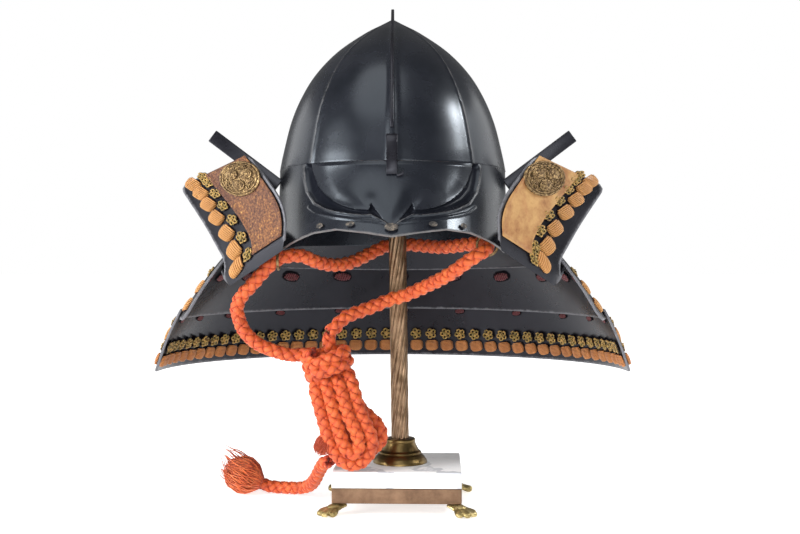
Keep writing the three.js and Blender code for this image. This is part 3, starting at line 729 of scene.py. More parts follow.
def bowlShape(u, v):  # u turns round from the front, v goes down from the tip
    degrees = 360 * (1 - u)
    width = smoothTable(bowl["widths"], v)
    height = smoothTable(bowl["heights"], v)
    swell = np.zeros_like(u)
    for rib in bowl["ribs"]:
        away = np.radians(turnFrom(degrees, rib)) * width
        swell += bowl["ribHeight"] * ridge(away, bowl["ribWidth"]) * np.clip(width / bowl["ribTip"], 0, 1)
    front = np.radians(turnFrom(degrees, 0)) * width * bowl["lengthRatio"]
    frontRidge = ridge(front, bowl["ridgeWidth"] + bowl["ridgeSpread"] * v)
    swell += bowl["ridgeHeight"] * frontRidge * np.clip(width / bowl["ridgeTip"], 0, 1)
    x = np.sin(np.radians(degrees)) * (width + swell)
    y = headCentreY - np.cos(np.radians(degrees)) * (width * bowl["lengthRatio"] + swell)
    return np.column_stack([x, y, height])


def bowlMarks(u, v):  # the ribs are rubbed and given a painted highlight, a little lighter
    width = smoothTable(bowl["widths"], v)
    turns = [np.radians(turnFrom(360 * (1 - u), rib)) * width for rib in bowl["ribs"]]
    ribs = sum(ridge(away, bowl["ribRubAndHighlightWidth"]) for away in turns)
    return {"edge": bowl["ribRubAndHighlight"] * np.clip(ribs, 0, 1) * np.clip(width / bowl["ribTip"], 0, 1)}


def addBowl():
    shell = formGrid("bowlShell", 360, 72, bowlShape, closed=True, marks=bowlMarks)
    finishWall(shell, bowl["wall"], bowl["edge"], lacquer, 60)
    belong(shell, "lacquer", "bowl")


# Brow and waist plate
brow = {
    "wall": 2.4, "edge": 0.5, "sideFlare": 3, "frontFlare": 28,
    "grooveDepth": 3.2, "foreheadRise": 0.5, "foreheadSwell": 1.6, "eyelidRise": 1.6, "lipRise": 0.9,
    # its painted highlights along the lines, its rubbed and highlighted rim, and the painted shade in its
    # hollows and under its eyelid
    "highlightLinesBelow": 322, "eyelidHighlight": 0.95, "lipHighlight": 0.6, "highlightLineWidth": 0.55, "rimTall": 62, "rimRubAndHighlight": 1.1,
    "underShade": 0.8, "underGap": 3.2, "underWidth": 1.6,
    "rimDegrees": [0, 12, 25, 38, 50, 70, 90, 120, 180],
    "rimHeights": [253, 256.5, 259.2, 256.4, 250.4, 240, 242, 248, 250],
    # lines pressed into the brow, as distance from the middle and height; each is mirrored
    "crease": [(71, 330), (70.4, 318), (69, 311), (63.8, 297.3), (57, 289.5), (50.1, 283.8), (43, 280),
               (35.6, 277.2), (27, 275.3), (20, 274.8), (18, 277), (17.6, 281.5), (12, 273.5),
               (6.4, 266.5), (0, 261)],
    "eyelid": [(77, 330), (76.8, 312), (75.5, 303), (73, 293), (66.3, 282.6), (57, 277.3), (47.4, 274.3),
               (35.6, 272.2), (25, 271), (17, 271.3), (6.4, 265.5), (0, 260)],
    "lip": [(72, 279), (65.5, 273.9), (56, 271.3), (47.4, 269.4), (36, 267.8), (24.1, 266.4), (6.4, 264.5)],
    "rivets": [(-33, 0.93, 3.9), (-18, 0.92, 3.9), (0, 0.9, 5.8), (18, 0.92, 3.9), (33, 0.93, 3.9)],
}


def lineDistance(x, z, line):  # how far each point is from a line of points, seen from the front
    best = np.full(len(x), 1e9)
    for (ax, az), (bx, bz) in zip(line, line[1:]):
        dx, dz = bx - ax, bz - az
        t = np.clip(((x - ax) * dx + (z - az) * dz) / (dx * dx + dz * dz), 0, 1)
        best = np.minimum(best, np.hypot(x - ax - t * dx, z - az - t * dz))
    return best


def isAbove(x, z, line):  # whether each point lies between the helmet's middle and the line
    outline = [*line, (-5, line[-1][1]), (-5, 340), (line[0][0], 340)]
    inside = np.zeros(len(x), bool)
    for (ax, az), (bx, bz) in zip(outline, outline[1:] + outline[:1]):
        if az != bz:
            crosses = (az > z) != (bz > z)
            inside ^= crosses & (x < ax + (z - az) / (bz - az) * (bx - ax))
    return inside


def browSurface(degrees, down, lift=0.0):
    turn = np.cos(np.radians(degrees))
    side = bowl["widths"][-1] + brow["sideFlare"] * down**1.5 + lift
    flare = np.where(turn > 0, brow["frontFlare"] * down**1.3, brow["sideFlare"] * down**1.5)
    length = bowl["widths"][-1] * bowl["lengthRatio"] + flare + lift
    rim = np.interp(turnFrom(degrees, 0), brow["rimDegrees"], brow["rimHeights"])
    height = seamHeight + (rim - seamHeight) * down
    return np.column_stack([np.sin(np.radians(degrees)) * side, headCentreY - turn * length, height])


def browDegrees(u):  # columns lie close together over the pressed lines at the front
    return np.interp(1 - u, [0, 0.36, 0.64, 1], [0, 50, 310, 360])


def browLines(degrees, v):
    flat = browSurface(degrees, v)
    x, z = np.abs(flat[:, 0]), flat[:, 2]
    front = np.cos(np.radians(degrees)) > 0
    return (x, z, front, *(lineDistance(x, z, brow[name]) for name in ("crease", "eyelid", "lip")))


def browMarks(u, v):  # painted shade in the brow's hollows and under its eyelid, painted highlights along its lines, and a rubbed, highlighted rim
    x, z, front, _, eyelid, lip = browLines(browDegrees(u), v)
    forehead, browInside = isAbove(x, z, brow["crease"]), isAbove(x, z, brow["eyelid"])
    # painted shade in the groove under the forehead, and in a band under the eyelid ridge
    pressed = np.where(browInside & ~forehead, 1 - ridge(eyelid, 1.5), 0)
    shade = brow["underShade"] * ridge(eyelid - brow["underGap"], brow["underWidth"]) * ridge(x - 45, 30)
    under = np.where(~browInside, shade, 0)
    rim = ridge((1 - v) * brow["rimTall"], brow["rimRubAndHighlight"]) * np.where(front, 1, 0.5)
    # painted highlights along the eyelid ridge and the lip below it
    eyelidHighlight = brow["eyelidHighlight"] * ridge(eyelid, brow["highlightLineWidth"])
    lipHighlight = brow["lipHighlight"] * ridge(lip, brow["highlightLineWidth"])
    lines = np.maximum(eyelidHighlight, lipHighlight) * (z < brow["highlightLinesBelow"])
    paintedShade = np.where(front, np.maximum(pressed, under), 0)
    return {"paintedShade": paintedShade, "edge": np.maximum(rim, np.where(front, lines, 0))}


def browShape(u, v):
    degrees = browDegrees(u)
    x, z, front, crease, eyelid, lip = browLines(degrees, v)
    forehead, browInside = isAbove(x, z, brow["crease"]), isAbove(x, z, brow["eyelid"])
    across = crease / np.maximum(crease + eyelid, 0.01)
    deep = -brow["grooveDepth"] * np.sin(math.pi * across**0.75) ** 0.8
    groove = deep * np.clip((crease + eyelid) / 6, 0, 1)
    swell = brow["foreheadRise"] + brow["foreheadSwell"] * (1 - ridge(crease, 8))
    lift = np.where(forehead, swell, np.where(browInside, groove, 0))
    fold = brow["eyelidRise"] * np.where(browInside, ridge(eyelid, 0.9), ridge(eyelid, 1.5))
    lift = lift + np.where(forehead, 0, fold) + brow["lipRise"] * ridge(lip, 1.1)
    lift = np.where(front, lift, 0) * np.clip(v / 0.05, 0, 1) * np.clip((1 - v) / 0.04, 0, 1)
    return browSurface(degrees, v, lift)


def addBrowPlate():
    plate = formGrid("browAndWaistPlate", 400, 100, browShape, closed=True, marks=browMarks)
    finishWall(plate, brow["wall"], brow["edge"], lacquer, 60)
    belong(plate, "lacquer", "brow_and_waist_plate")


rivet = {"squash": (1, 0.62, 0.12), "rounds": 28, "rings": 14}


def addRivets():  # flat domes: a half sphere each, squashed and laid on the plate
    for n, (degrees, down, radius) in enumerate(brow["rivets"]):
        turns, downs = np.array([degrees, degrees + 2.0, degrees]), np.array([down, down, down - 0.05])
        around = browSurface(turns, downs, 0.2)
        normal = unit(np.cross(around[1] - around[0], around[2] - around[0]))
        deselectAll()
        bpy.ops.mesh.primitive_uv_sphere_add(segments=rivet["rounds"], ring_count=rivet["rings"],
                                             radius=radius / 1000)
        dome = bpy.context.object
        dome.name = f"browRivet{n + 1}"
        editWhole(dome, bpy.ops.mesh.bisect, plane_co=(0, 0, 0), plane_no=(0, 0, 1), clear_inner=True,
                  use_fill=True)
        editWhole(dome, bpy.ops.transform.resize, value=rivet["squash"])
        dome.rotation_mode = "QUATERNION"
        dome.rotation_quaternion = Vector(normal).to_track_quat("Z", "Y")
        dome.location = place(around[0] + normal * 0.1)
        bpy.ops.object.transform_apply(location=True, rotation=True, scale=True)
        dress(dome, rivetMetal, 50)
        belong(dome, "worn_brass", f"brow_rivet_{n + 1}")


# Crest plate, front holder and side tongues
outlineEdge = 0.7


def addOutline(name, outline, thickness, node, channel=0):  # an outline in Y and Z, thick along X
    points = place([(-thickness / 2, y, z) for y, z in outline])
    mesh = bpy.data.meshes.new(name)
    mesh.from_pydata(points.tolist(), [], [list(range(len(points)))])
    piece = bpy.data.objects.new(name, mesh)
    bpy.context.collection.objects.link(piece)
    editWhole(piece, bpy.ops.mesh.extrude_region_move,
              TRANSFORM_OT_translate={"value": (thickness / 1000, 0, 0)})
    editWhole(piece, bpy.ops.mesh.normals_make_consistent, inside=False)
    if channel:  # pressed into the faces that look forwards
        for face in piece.data.polygons:
            face.select = face.normal.y < -0.3
        bpy.ops.object.mode_set(mode="EDIT")
        bpy.ops.mesh.select_mode(type="FACE")
        bpy.ops.mesh.inset(thickness=channel / 1000, depth=-channel / 1300)
        bpy.ops.mesh.select_mode(type="VERT")
        bpy.ops.object.mode_set(mode="OBJECT")
    applyModifier(piece, "BEVEL", width=outlineEdge / 1000, segments=2, limit_method="ANGLE",
                  angle_limit=math.radians(40))
    dress(piece, lameLacquer, 45)
    belong(piece, "lacquer", node)


crestPlate = {
    "thickness": 2.9, "frontRise": 5, "tipRise": 10, "backRise": 3, "lowest": 345, "backLowest": 331,
    "sunk": 0.3, "rows": 40,
}


def addCrestPlate():
    shares = np.linspace(0, 1, crestPlate["rows"])
    widths, heights = smoothTable(bowl["widths"], shares), smoothTable(bowl["heights"], shares)
    under, over = [], []
    for side, lowest, rise in ((-1, crestPlate["lowest"], crestPlate["frontRise"]),
                               (1, crestPlate["backLowest"], crestPlate["backRise"])):
        keep = heights > lowest
        y = headCentreY + side * widths[keep] * bowl["lengthRatio"]
        z = heights[keep]
        s = shares[keep] / shares[keep][-1]
        proud = crestPlate["tipRise"] + (rise - crestPlate["tipRise"]) * np.clip(s * 2, 0, 1)
        lean = side * np.clip(1.5 * s, 0, 1)
        low = list(zip(y, z - crestPlate["sunk"]))
        high = list(zip(y + proud * lean, z + proud * (1 - lean**2 * 0.7)))
        under = low[::-1] if side < 0 else under + low[1:]
        over = high[::-1] if side < 0 else over + high[1:]
    addOutline("crestPlateBlade", under + over[::-1], crestPlate["thickness"], "crest_plate")


frontHolder = {
    "heights": [304, 311, 318, 326, 334, 340, 343], "proud": 8.7, "prouds": [0.62, 1, 1, 1, 1, 0.95, 0.62],
    "sunk": 0.7, "width": 13, "channel": 2.4, "browTall": 65,
    "hook": [(4.5, 0, 305), (7.2, 0, 305.4), (9, -0.4, 306.6), (9.8, -0.8, 308.8)], "hookThick": 1.5,
}


def addFrontHolder():
    heights = np.array(frontHolder["heights"])
    widths = np.interp(heights, bowl["heights"][::-1], bowl["widths"][::-1])
    onBrow = browSurface(np.zeros(len(heights)), (seamHeight - heights) / frontHolder["browTall"])[:, 1]
    onBowl = -widths * bowl["lengthRatio"]
    faces = np.where(heights > seamHeight, onBowl, onBrow - headCentreY) + headCentreY
    back = [(y - frontHolder["sunk"], z) for y, z in zip(faces, heights)]
    front = [(y - frontHolder["proud"] * share, z)
             for y, z, share in zip(faces, heights, frontHolder["prouds"])]
    addOutline("frontCrestHolder", back + front[::-1], frontHolder["width"], "front_crest_holder",
               frontHolder["channel"])
    hook = [(x, faces[0] - 3 + y, z) for x, y, z in frontHolder["hook"]]
    route, _ = smoothRoute(hook, 0.6)
    taper = np.interp(np.linspace(0, 1, len(route)), [0, 0.6, 1], [1, 0.85, 0.3])
    wire = tubeData(route, frontHolder["hookThick"], frontHolder["hookThick"], 10, taper=taper)
    belong(meshFromTubes("frontHolderHook", [wire], lameLacquer), "lacquer")


tongue = {
    "width": 12.5, "thickness": 4, "length": 74, "startX": 109.2, "startZ": 305, "y": -28, "slope": 37,
    "rooted": 3.5, "edge": 0.9,
}


def addSideTongues():
    slope = math.radians(tongue["slope"])
    for name, side in (("left", -1), ("right", 1)):
        size = (tongue["length"] + tongue["rooted"], tongue["thickness"], tongue["width"])
        middle = (tongue["length"] - tongue["rooted"]) / 2
        where = (side * (tongue["startX"] + math.cos(slope) * middle), tongue["y"],
                 tongue["startZ"] + math.sin(slope) * middle)
        bar = addBlock(f"sideCrestTongue{name.title()}", size, (0, -side * slope, 0), where)
        applyModifier(bar, "BEVEL", width=tongue["edge"] / 1000, segments=3)
        dress(bar, lameLacquer, 40)
        belong(bar, "lacquer", f"side_crest_tongue_{name}")


# Neck guard
lameWall = 2.3
lameEdgeBevel = 0.45
lameBulge = 1.6
topCorner = 9
lowerCorner = 11
# each edge: half width, length to the back and to the front, height at the side and at the back
lames = {
    "top": {"upper": (112.3, 129.9, 156, 266, 262), "lower": (163, 160, 156, 229, 224)},
    "middle": {"upper": (161.6, 160.1, 155, 236.2, 233), "lower": (203, 180, 155, 178, 180), "end": 107},
    "bottom": {"upper": (202.8, 181.8, 150, 186.9, 189.4), "lower": (228, 192, 150, 127, 127), "end": 95},
}
topLameFront = [((112.6, -32, 264.5), (161.5, -22, 227)), ((107, -68, 260), (158, -42, 222)),
                ((98, -95, 253), (153.8, -55, 216.5))]
turnBack = {
    "upper": [(91.7, -105, 250.6), (90.9, -107, 269.9), (96.4, -101, 286.4), (109, -90, 304.6),
              (128, -68, 328)],
    "lower": [(151.5, -60, 214.4), (151.1, -60, 231.6), (160, -52, 247.2), (174.6, -37, 268.7),
              (200.9, -12, 302.8)],
}


def lameEdge(edge, degrees):  # degrees from the back, plus towards +X
    half, back, front, side, rear = edge
    cosine = np.cos(np.radians(degrees))
    height = np.where(cosine > 0, side + (rear - side) * cosine**2, side)
    return np.column_stack([np.sin(np.radians(degrees)) * half,
                            headCentreY + cosine * np.where(cosine > 0, back, front), height])


def lameSurface(name, degrees, down, lift=0.0):
    upper, lower = lames[name]["upper"], lames[name]["lower"]
    high, low = lameEdge(upper, degrees), lameEdge(lower, degrees)
    ahead = lameEdge(upper, degrees + 1) + lameEdge(lower, degrees + 1) - high - low
    normal = unit(np.cross(ahead, low - high))
    outwards = normal[:, :1] * high[:, :1] + normal[:, 1:2] * (high[:, 1:2] - headCentreY)
    normal = np.where(outwards < 0, -normal, normal)
    down = np.asarray(down)[..., None] if np.ndim(down) else down
    lift = np.asarray(lift)[..., None] if np.ndim(lift) else lift
    return high + (low - high) * down + normal * lift, normal, unit(low - high)


def roundCorner(fromEnd, corner, tall):  # the share of a lame's height that its rounded corner takes away
    inset = corner - np.minimum(fromEnd, corner)
    return (corner - np.sqrt(np.maximum(corner**2 - inset**2, 0))) / tall


def lameShape(name):
    end = lames[name]["end"]

    def shape(u, v):
        degrees = end * (2 * u - 1)
        high, low = lameEdge(lames[name]["upper"], degrees), lameEdge(lames[name]["lower"], degrees)
        fromEnd = (1 - np.abs(2 * u - 1)) * np.radians(end) * 190
        cut = roundCorner(fromEnd, lowerCorner, np.linalg.norm(low - high, axis=1))
        return lameSurface(name, degrees, v * (1 - cut), lameBulge * 4 * v * (1 - v))[0]

    return shape


def edgeCurve(rows, share):
    rows = np.asarray(rows, float)
    fine = np.linspace(0, 1, 400)
    line = np.column_stack([smoothTable(rows[:, k], fine) for k in range(3)])
    reach = reachOf(line)
    return np.column_stack([np.interp(np.clip(share, 0, 1) * reach[-1], reach, line[:, k]) for k in range(3)])


def turnBackSurface(along, across, lift=0.0):  # on the +X side; lift is off the face seen from the front
    def on(u, v):
        high, low = edgeCurve(turnBack["upper"], u), edgeCurve(turnBack["lower"], u)
        return high + (low - high) * np.asarray(v)[:, None]

    along, across = np.asarray(along, float), np.asarray(across, float)
    middle = np.clip(along, 0.02, 0.98)
    length = on(middle + 0.02, across) - on(middle - 0.02, across)
    width = on(middle, across + 0.02) - on(middle, across - 0.02)
    normal = unit(np.cross(width, length))
    lift = np.asarray(lift)[..., None] if np.ndim(lift) else lift
    return on(along, across) + normal * lift, normal, unit(width), unit(length)


def topLameRows():  # the edges of the top lame with its turn-backs, from the +X end round to the -X end
    shares = 1 - np.linspace(0, 1, 30)
    high = [edgeCurve(turnBack["upper"], shares)]
    low = [edgeCurve(turnBack["lower"], shares)]
    high.append([row[0] for row in topLameFront[::-1]])
    low.append([row[1] for row in topLameFront[::-1]])
    degrees = 90 - np.arange(0, 90, 2.5)
    high.append(lameEdge(lames["top"]["upper"], degrees))
    low.append(lameEdge(lames["top"]["lower"], degrees))
    high, low = np.vstack(high), np.vstack(low)
    middle = lameEdge(lames["top"]["upper"], np.zeros(1)), lameEdge(lames["top"]["lower"], np.zeros(1))
    flip = np.array([-1, 1, 1])
    return np.vstack([high, middle[0], high[::-1] * flip]), np.vstack([low, middle[1], low[::-1] * flip])


def addTopLame():
    high, low = topLameRows()
    count = len(high)

    def shape(u, v):
        i = np.round((1 - u) * (count - 1)).astype(int)
        fromEnd = np.minimum(*(np.linalg.norm(high[i] - high[end], axis=1) for end in (0, -1)))
        cut = roundCorner(fromEnd, topCorner, np.linalg.norm(low - high, axis=1)[i])
        return high[i] + (low - high)[i] * (v * (1 - 2 * cut) + cut)[:, None]

    plate = formGrid("neckLameTop", count - 1, 14, shape)
    finishWall(plate, lameWall, lameEdgeBevel, lameLacquer, 45)
    belong(plate, "lacquer", "neck_lame_top")


def addLowerLames():
    for name in ("middle", "bottom"):
        plate = formGrid(f"neckLame{name.title()}", 150, 12, lameShape(name))
        finishWall(plate, lameWall, lameEdgeBevel, lameLacquer, 45)
        belong(plate, "lacquer", f"neck_lame_{name}")


addBowl()
addBrowPlate()
addRivets()
addCrestPlate()
addFrontHolder()
addSideTongues()
addTopLame()
addLowerLames()
print("helmet shells done")


# Lacing: knots, bosses and windows, each modelled once and copied to its places


def upwards(count):
    return np.tile((0.0, 0.0, 1.0), (count, 1))


stitch = {
    "threads": 8, "gap": 1.82, "reach": 7.1, "half": 7.2, "low": 0.5, "rise": 2.7,
    "wide": 0.83, "thick": 1.15,
}


def knotTubes(turned, tall):  # a plump square stitch: threads side by side, tied down at both ends
    turn = math.radians(turned)
    spin = np.array([[math.cos(turn), math.sin(turn)], [-math.sin(turn), math.cos(turn)]])
    t = np.linspace(-1, 1, 7)
    taper = np.array([0.7, 1, 1, 1, 1, 1, 0.7])
    tubes = []
    for n in range(stitch["threads"]):
        offset = (n - (stitch["threads"] - 1) / 2) * stitch["gap"]
        reach = stitch["reach"] * (1 - abs(offset / stitch["half"]) ** 4) ** (1 / 4)
        rise = stitch["low"] + stitch["rise"] * (1 - t**2) ** 0.6 * (1 - 0.35 * (offset / 6.9) ** 2)
        route = np.column_stack([t * reach, np.full(7, offset) * tall * (1 - 0.12 * t**2), rise])
        route[:, :2] = route[:, :2] @ spin
        tubes.append(tubeData(route, stitch["wide"] * tall, stitch["thick"], 6, up=upwards(7), taper=taper))
    return tubes


bossForm = {
    "loops": 5, "turn": 1.2566, "ring": 3.3, "low": 1.5, "high": 2.6, "loop": 1.8, "middleLoop": 1.0,
    "thread": 0.85,
}


def bossTubes():  # a round boss of twisted thread: a ring of open loops round a middle knot
    angle = np.linspace(0, 2 * math.pi, 8)
    tubes = []
    for n in range(bossForm["loops"] + 1):
        isMiddle = n == bossForm["loops"]
        ring = 0 if isMiddle else bossForm["ring"]
        turn = n * bossForm["turn"]
        middle = np.array([math.cos(turn), math.sin(turn), 0]) * ring
        middle[2] = bossForm["high"] if isMiddle else bossForm["low"]
        radius = bossForm["middleLoop"] if isMiddle else bossForm["loop"]
        wave = 0.5 * np.sin(angle * 2 + n)
        route = middle + np.column_stack([np.cos(angle) * radius, np.sin(angle) * radius, wave])
        tubes.append(tubeData(route, bossForm["thread"], bossForm["thread"], 5, up=upwards(8)))
    return tubes


windowForm = {"threads": 7, "gap": 2.3, "half": 8.6, "reach": 3.9, "lean": 0.5, "wide": 0.95, "thick": 0.45}


def windowTubes():  # short maroon threads side by side, as they show through an oval hole
    t = np.linspace(-1, 1, 5)
    tubes = []
    for n in range(windowForm["threads"]):
        x = (n - 3) * windowForm["gap"]
        reach = windowForm["reach"] * math.sqrt(max(1 - (x / windowForm["half"]) ** 2, 0.05))
        route = np.column_stack([np.full(5, x) + t * windowForm["lean"], t * reach, 0.25 + 0.35 * (1 - t**2)])
        tubes.append(tubeData(route, windowForm["wide"], windowForm["thick"], 6, up=upwards(5)))
    return tubes


def holeTubes(tall):  # a flat dark oval of painted shade, for the shadowed opening round threads that pass through a plate
    t = np.linspace(-1, 1, 11)
    route = np.column_stack([t * windowForm["half"], np.zeros(11), np.full(11, 0.1)])
    taper = np.maximum((1 - np.abs(t) ** 3) ** (1 / 3), 0.1)
    return [tubeData(route, tall, 0.1, 14, up=upwards(11), taper=taper)]


def copiesOf(tubes, places):  # each place: point, across, down, normal and size
    copies = []
    for point, across, down, normal, size in places:
        turn = np.column_stack([across, down, normal]) * size
        for vertices, faces, uvs, caps in tubes:
            copies.append((vertices @ turn.T + point, faces, uvs, caps))
    return copies


def addCopies(name, tubes, places, material, slotName):
    piece = meshFromTubes(name, copiesOf(tubes, places), material)
    editWhole(piece, bpy.ops.mesh.normals_make_consistent, inside=False)
    belong(piece, slotName)


def onLame(name, degrees, down, lift, size, inside=False):
    point, normal, lower = lameSurface(name, np.array([degrees]), down, 0.0)
    normal = -normal[0] if inside else normal[0]
    wall = lameWall if inside else 0
    return point[0] + normal * (wall + lift), np.cross(lower[0], normal), lower[0], normal, size


def onTurnBack(side, along, across, lift, size):
    point, normal, width, length = turnBackSurface([along], [across], lameWall + lift)
    flip = np.array([side, 1, 1])
    return point[0] * flip, length[0] * flip, width[0] * flip, normal[0] * flip, size


lacing = {  # places are shares along and across a turn-back, or degrees from the back and a share down a lame
    "turnKnots": {
        -1: [(0.95, 0.81), (0.83, 0.79), (0.69, 0.79), (0.53, 0.795), (0.35, 0.78), (0.18, 0.785),
             (0.035, 0.76)],
        1: [(0.97, 0.77), (0.875, 0.755), (0.73, 0.75), (0.565, 0.73), (0.375, 0.72), (0.2, 0.73),
            (0.055, 0.69)],
    },
    "turnBosses": {
        -1: [(0.975, 0.64), (0.89, 0.63), (0.75, 0.63), (0.6, 0.635), (0.43, 0.63), (0.24, 0.62),
             (0.08, 0.58)],
        1: [(0.98, 0.6), (0.9, 0.6), (0.78, 0.59), (0.63, 0.575), (0.45, 0.565), (0.28, 0.56), (0.13, 0.56),
            (0.03, 0.53)],
    },
    "rimSteps": 42, "rimEnd": 92, "rimKnotDown": 0.81, "rimBossDown": 0.6,
    "topHoles": [(-44.5, 0.25), (-22, 0.22), (22, 0.22), (44.5, 0.25)],
    "middleWindows": [-98, -80, -60, -39.5, -19, 2, 22, 42, 62.5, 80, 98],
    "bottomWindows": [-86, -72, -57, -37, -17, 3, 21, 40.5, 59.5, 74, 87],
    "middleEnd": 102, "middleEndBoss": 0.25, "middleEndKnots": (0.5, 0.78),
    "bottomEndBoss": 0.22, "bottomEndKnot": 0.42, "bottomEndSize": 0.95,
    "knotSize": 1.16, "bossSize": 1.12, "rimKnotSize": 0.98, "gapSize": 0.62,
    "middleWindowDown": 0.317, "bottomWindowDown": 0.19,
    "middleWindowSize": 1.1, "bottomWindowSize": 0.62, "holeSize": 1.14, "topHoleSize": 0.52,
}


def addLacing():
    knots, bosses, rimKnots = [], [], []
    for side in (-1, 1):
        for along, across in lacing["turnKnots"][side]:
            knots.append(onTurnBack(side, along, across, 0.1, lacing["knotSize"]))
        for along, across in lacing["turnBosses"][side]:
            bosses.append(onTurnBack(side, along, across, 0.2, lacing["bossSize"]))
    addCopies("turnBackKnots", knotTubes(24, 1), knots, knotSilk, "lacing")
    rim = np.linspace(-lacing["rimEnd"], lacing["rimEnd"], lacing["rimSteps"])
    for inside in (True, False):
        for degrees in rim:
            down, size = lacing["rimKnotDown"], lacing["rimKnotSize"]
            rimKnots.append(onLame("bottom", degrees, down, 0.1, size, inside))
        for degrees in rim:
            down, size = lacing["rimBossDown"], lacing["bossSize"]
            bosses.append(onLame("bottom", degrees, down, 0.1, size, inside))
    addCopies("rimKnots", knotTubes(2, 0.84), rimKnots, rimSilk, "lacing")
    for name, side in (("Left", -1), ("Right", 1)):
        middleEnd, bottomEnd = side * lacing["middleEnd"], side * lacing["rimEnd"]
        bosses.append(onLame("middle", middleEnd, lacing["middleEndBoss"], 0.2, 1.0))
        bosses.append(onLame("bottom", bottomEnd, lacing["bottomEndBoss"], 0.2, lacing["bottomEndSize"]))
        outer = [onLame("middle", middleEnd, down, 0.2, 1.0) for down in lacing["middleEndKnots"]]
        outer.append(onLame("bottom", bottomEnd, lacing["bottomEndKnot"], 0.2, lacing["bottomEndSize"]))
        addCopies(f"frontEdgeKnots{name}", knotTubes(24, 1), outer, knotSilk, "lacing")
    addCopies("lacingBosses", bossTubes(), bosses, bossThread, "boss_braid")
    # painted shade behind each boss, dark through the gaps between its loops
    gaps = [(*spot[:4], spot[4] * lacing["gapSize"]) for spot in bosses]
    addCopies("bossGapShade", holeTubes(8.4), gaps, paintedHoleShade, "lacing")
    windows = []
    for name in ("middle", "bottom"):
        down, size = lacing[f"{name}WindowDown"], lacing[f"{name}WindowSize"]
        windows += [onLame(name, degrees, down, 0.1, size, True) for degrees in lacing[f"{name}Windows"]]
    addCopies("lacingWindows", windowTubes(), windows, maroonSilk, "lacing")
    holes = [(*spot[:4], spot[4] * lacing["holeSize"]) for spot in windows]
    for degrees, down in lacing["topHoles"]:
        holes.append(onLame("top", degrees, down, 0.1, lacing["topHoleSize"], True))
    addCopies("lacingHoleShade", holeTubes(4.6), holes, paintedHoleShade, "lacing")


addLacing()
print("lacing done")


# Turn-back leather and discs
leather = {
    "wall": 1.5, "gap": 0.3, "edge": 0.4, "start": 0.05, "end": 0.985, "inner": 0.03, "outerAtFold": 0.5,
    "outerAtEnd": 0.6, "hemRise": 1.1, "hemFrom": 1.8, "hemWide": 1.5,
}


def addLeather():
    for name, side, material in (("left", -1, brownLeather), ("right", 1, tanLeather)):
        def shape(u, v, side=side):
            share = v if side > 0 else 1 - v
            along = leather["start"] + (leather["end"] - leather["start"]) * share
            outer = leather["outerAtFold"] + (leather["outerAtEnd"] - leather["outerAtFold"]) * share
            across = leather["inner"] + (outer - leather["inner"]) * u
            edge = np.minimum(np.minimum(u, 1 - u) * 42, np.minimum(v, 1 - v) * 88)
            rise = leather["hemRise"] * ridge(edge - leather["hemFrom"], leather["hemWide"])
            low = lameWall + leather["gap"] + leather["wall"]
            return turnBackSurface(along, across, low + rise)[0] * (side, 1, 1)

        panel = formGrid(f"turnBackLeather{name.title()}", 46, 84, shape)
        finishWall(panel, leather["wall"], leather["edge"], material, 50)
        belong(panel, "leather", f"turn_back_leather_{name}")


disc = {
    "along": 0.765, "across": 0.245, "length": 98.0, "width": 80.0,
    "backRadius": 18.6, "rims": ((19, 1.2, 1.0), (16.7, 0.8, 1.5)),  # radius, thickness and rise of each rim
    "buds": 3, "budReach": 8.3, "budRadius": 6.0, "holes": 4, "holeReach": 13.6, "holeRadius": 1.45,
}


def ringRoute(x, y, radius, rise, count):
    angle = np.linspace(0, 2 * math.pi, count)
    return np.column_stack([x + np.cos(angle) * radius, y + np.sin(angle) * radius, np.full(count, rise)])


def coilRoute(x, y, radius, low, high, pitch):  # a coil that closes and rises towards its middle
    turns = radius / pitch
    t = np.linspace(0, 1, max(8, round(turns * 14)))
    reach, angle = radius * (1 - t), 2 * math.pi * turns * t
    rise = low + (high - low) * np.sqrt(1 - (1 - t) ** 2)
    return np.column_stack([x + np.cos(angle) * reach, y + np.sin(angle) * reach, rise])


def addDiscs():  # an openwork flower: a beaded rim, three domed buds and small holes between them
    for name, side in (("left", -1), ("right", 1)):
        back = coilRoute(0, 0, disc["backRadius"], 0.6, 1.1, 1.9)
        tubes = [tubeData(back, 1.25, 0.5, 6, up=upwards(len(back)))]
        for radius, thick, rise in disc["rims"]:
            tubes.append(tubeData(ringRoute(0, 0, radius, rise, 49), thick, thick, 7))
        for n in range(disc["buds"]):
            middle = 2 * math.pi * n / disc["buds"] + 0.52
            bud = coilRoute(math.cos(middle) * disc["budReach"], math.sin(middle) * disc["budReach"],
                            disc["budRadius"], 1.2, 3.6, 1.5)
            tubes.append(tubeData(bud, 1.0, 0.8, 6, up=upwards(len(bud))))
            for k in range(disc["holes"]):  # small open rings between the buds
                aside = middle + math.pi / 3 + (k - 1.5) * 0.24
                reach = disc["holeReach"] - 1.4 * (k % 2)
                x, y = math.cos(aside) * reach, math.sin(aside) * reach
                ring = ringRoute(x, y, disc["holeRadius"], 1.9, 11)
                tubes.append(tubeData(ring, 0.62, 0.62, 5))
        flower = meshFromTubes(f"turnBackDisc{name.title()}", tubes, gilt)
        bendOnto(flower, side)
        editWhole(flower, bpy.ops.mesh.normals_make_consistent, inside=False)
        belong(flower, "gilt", f"turn_back_disc_{name}")


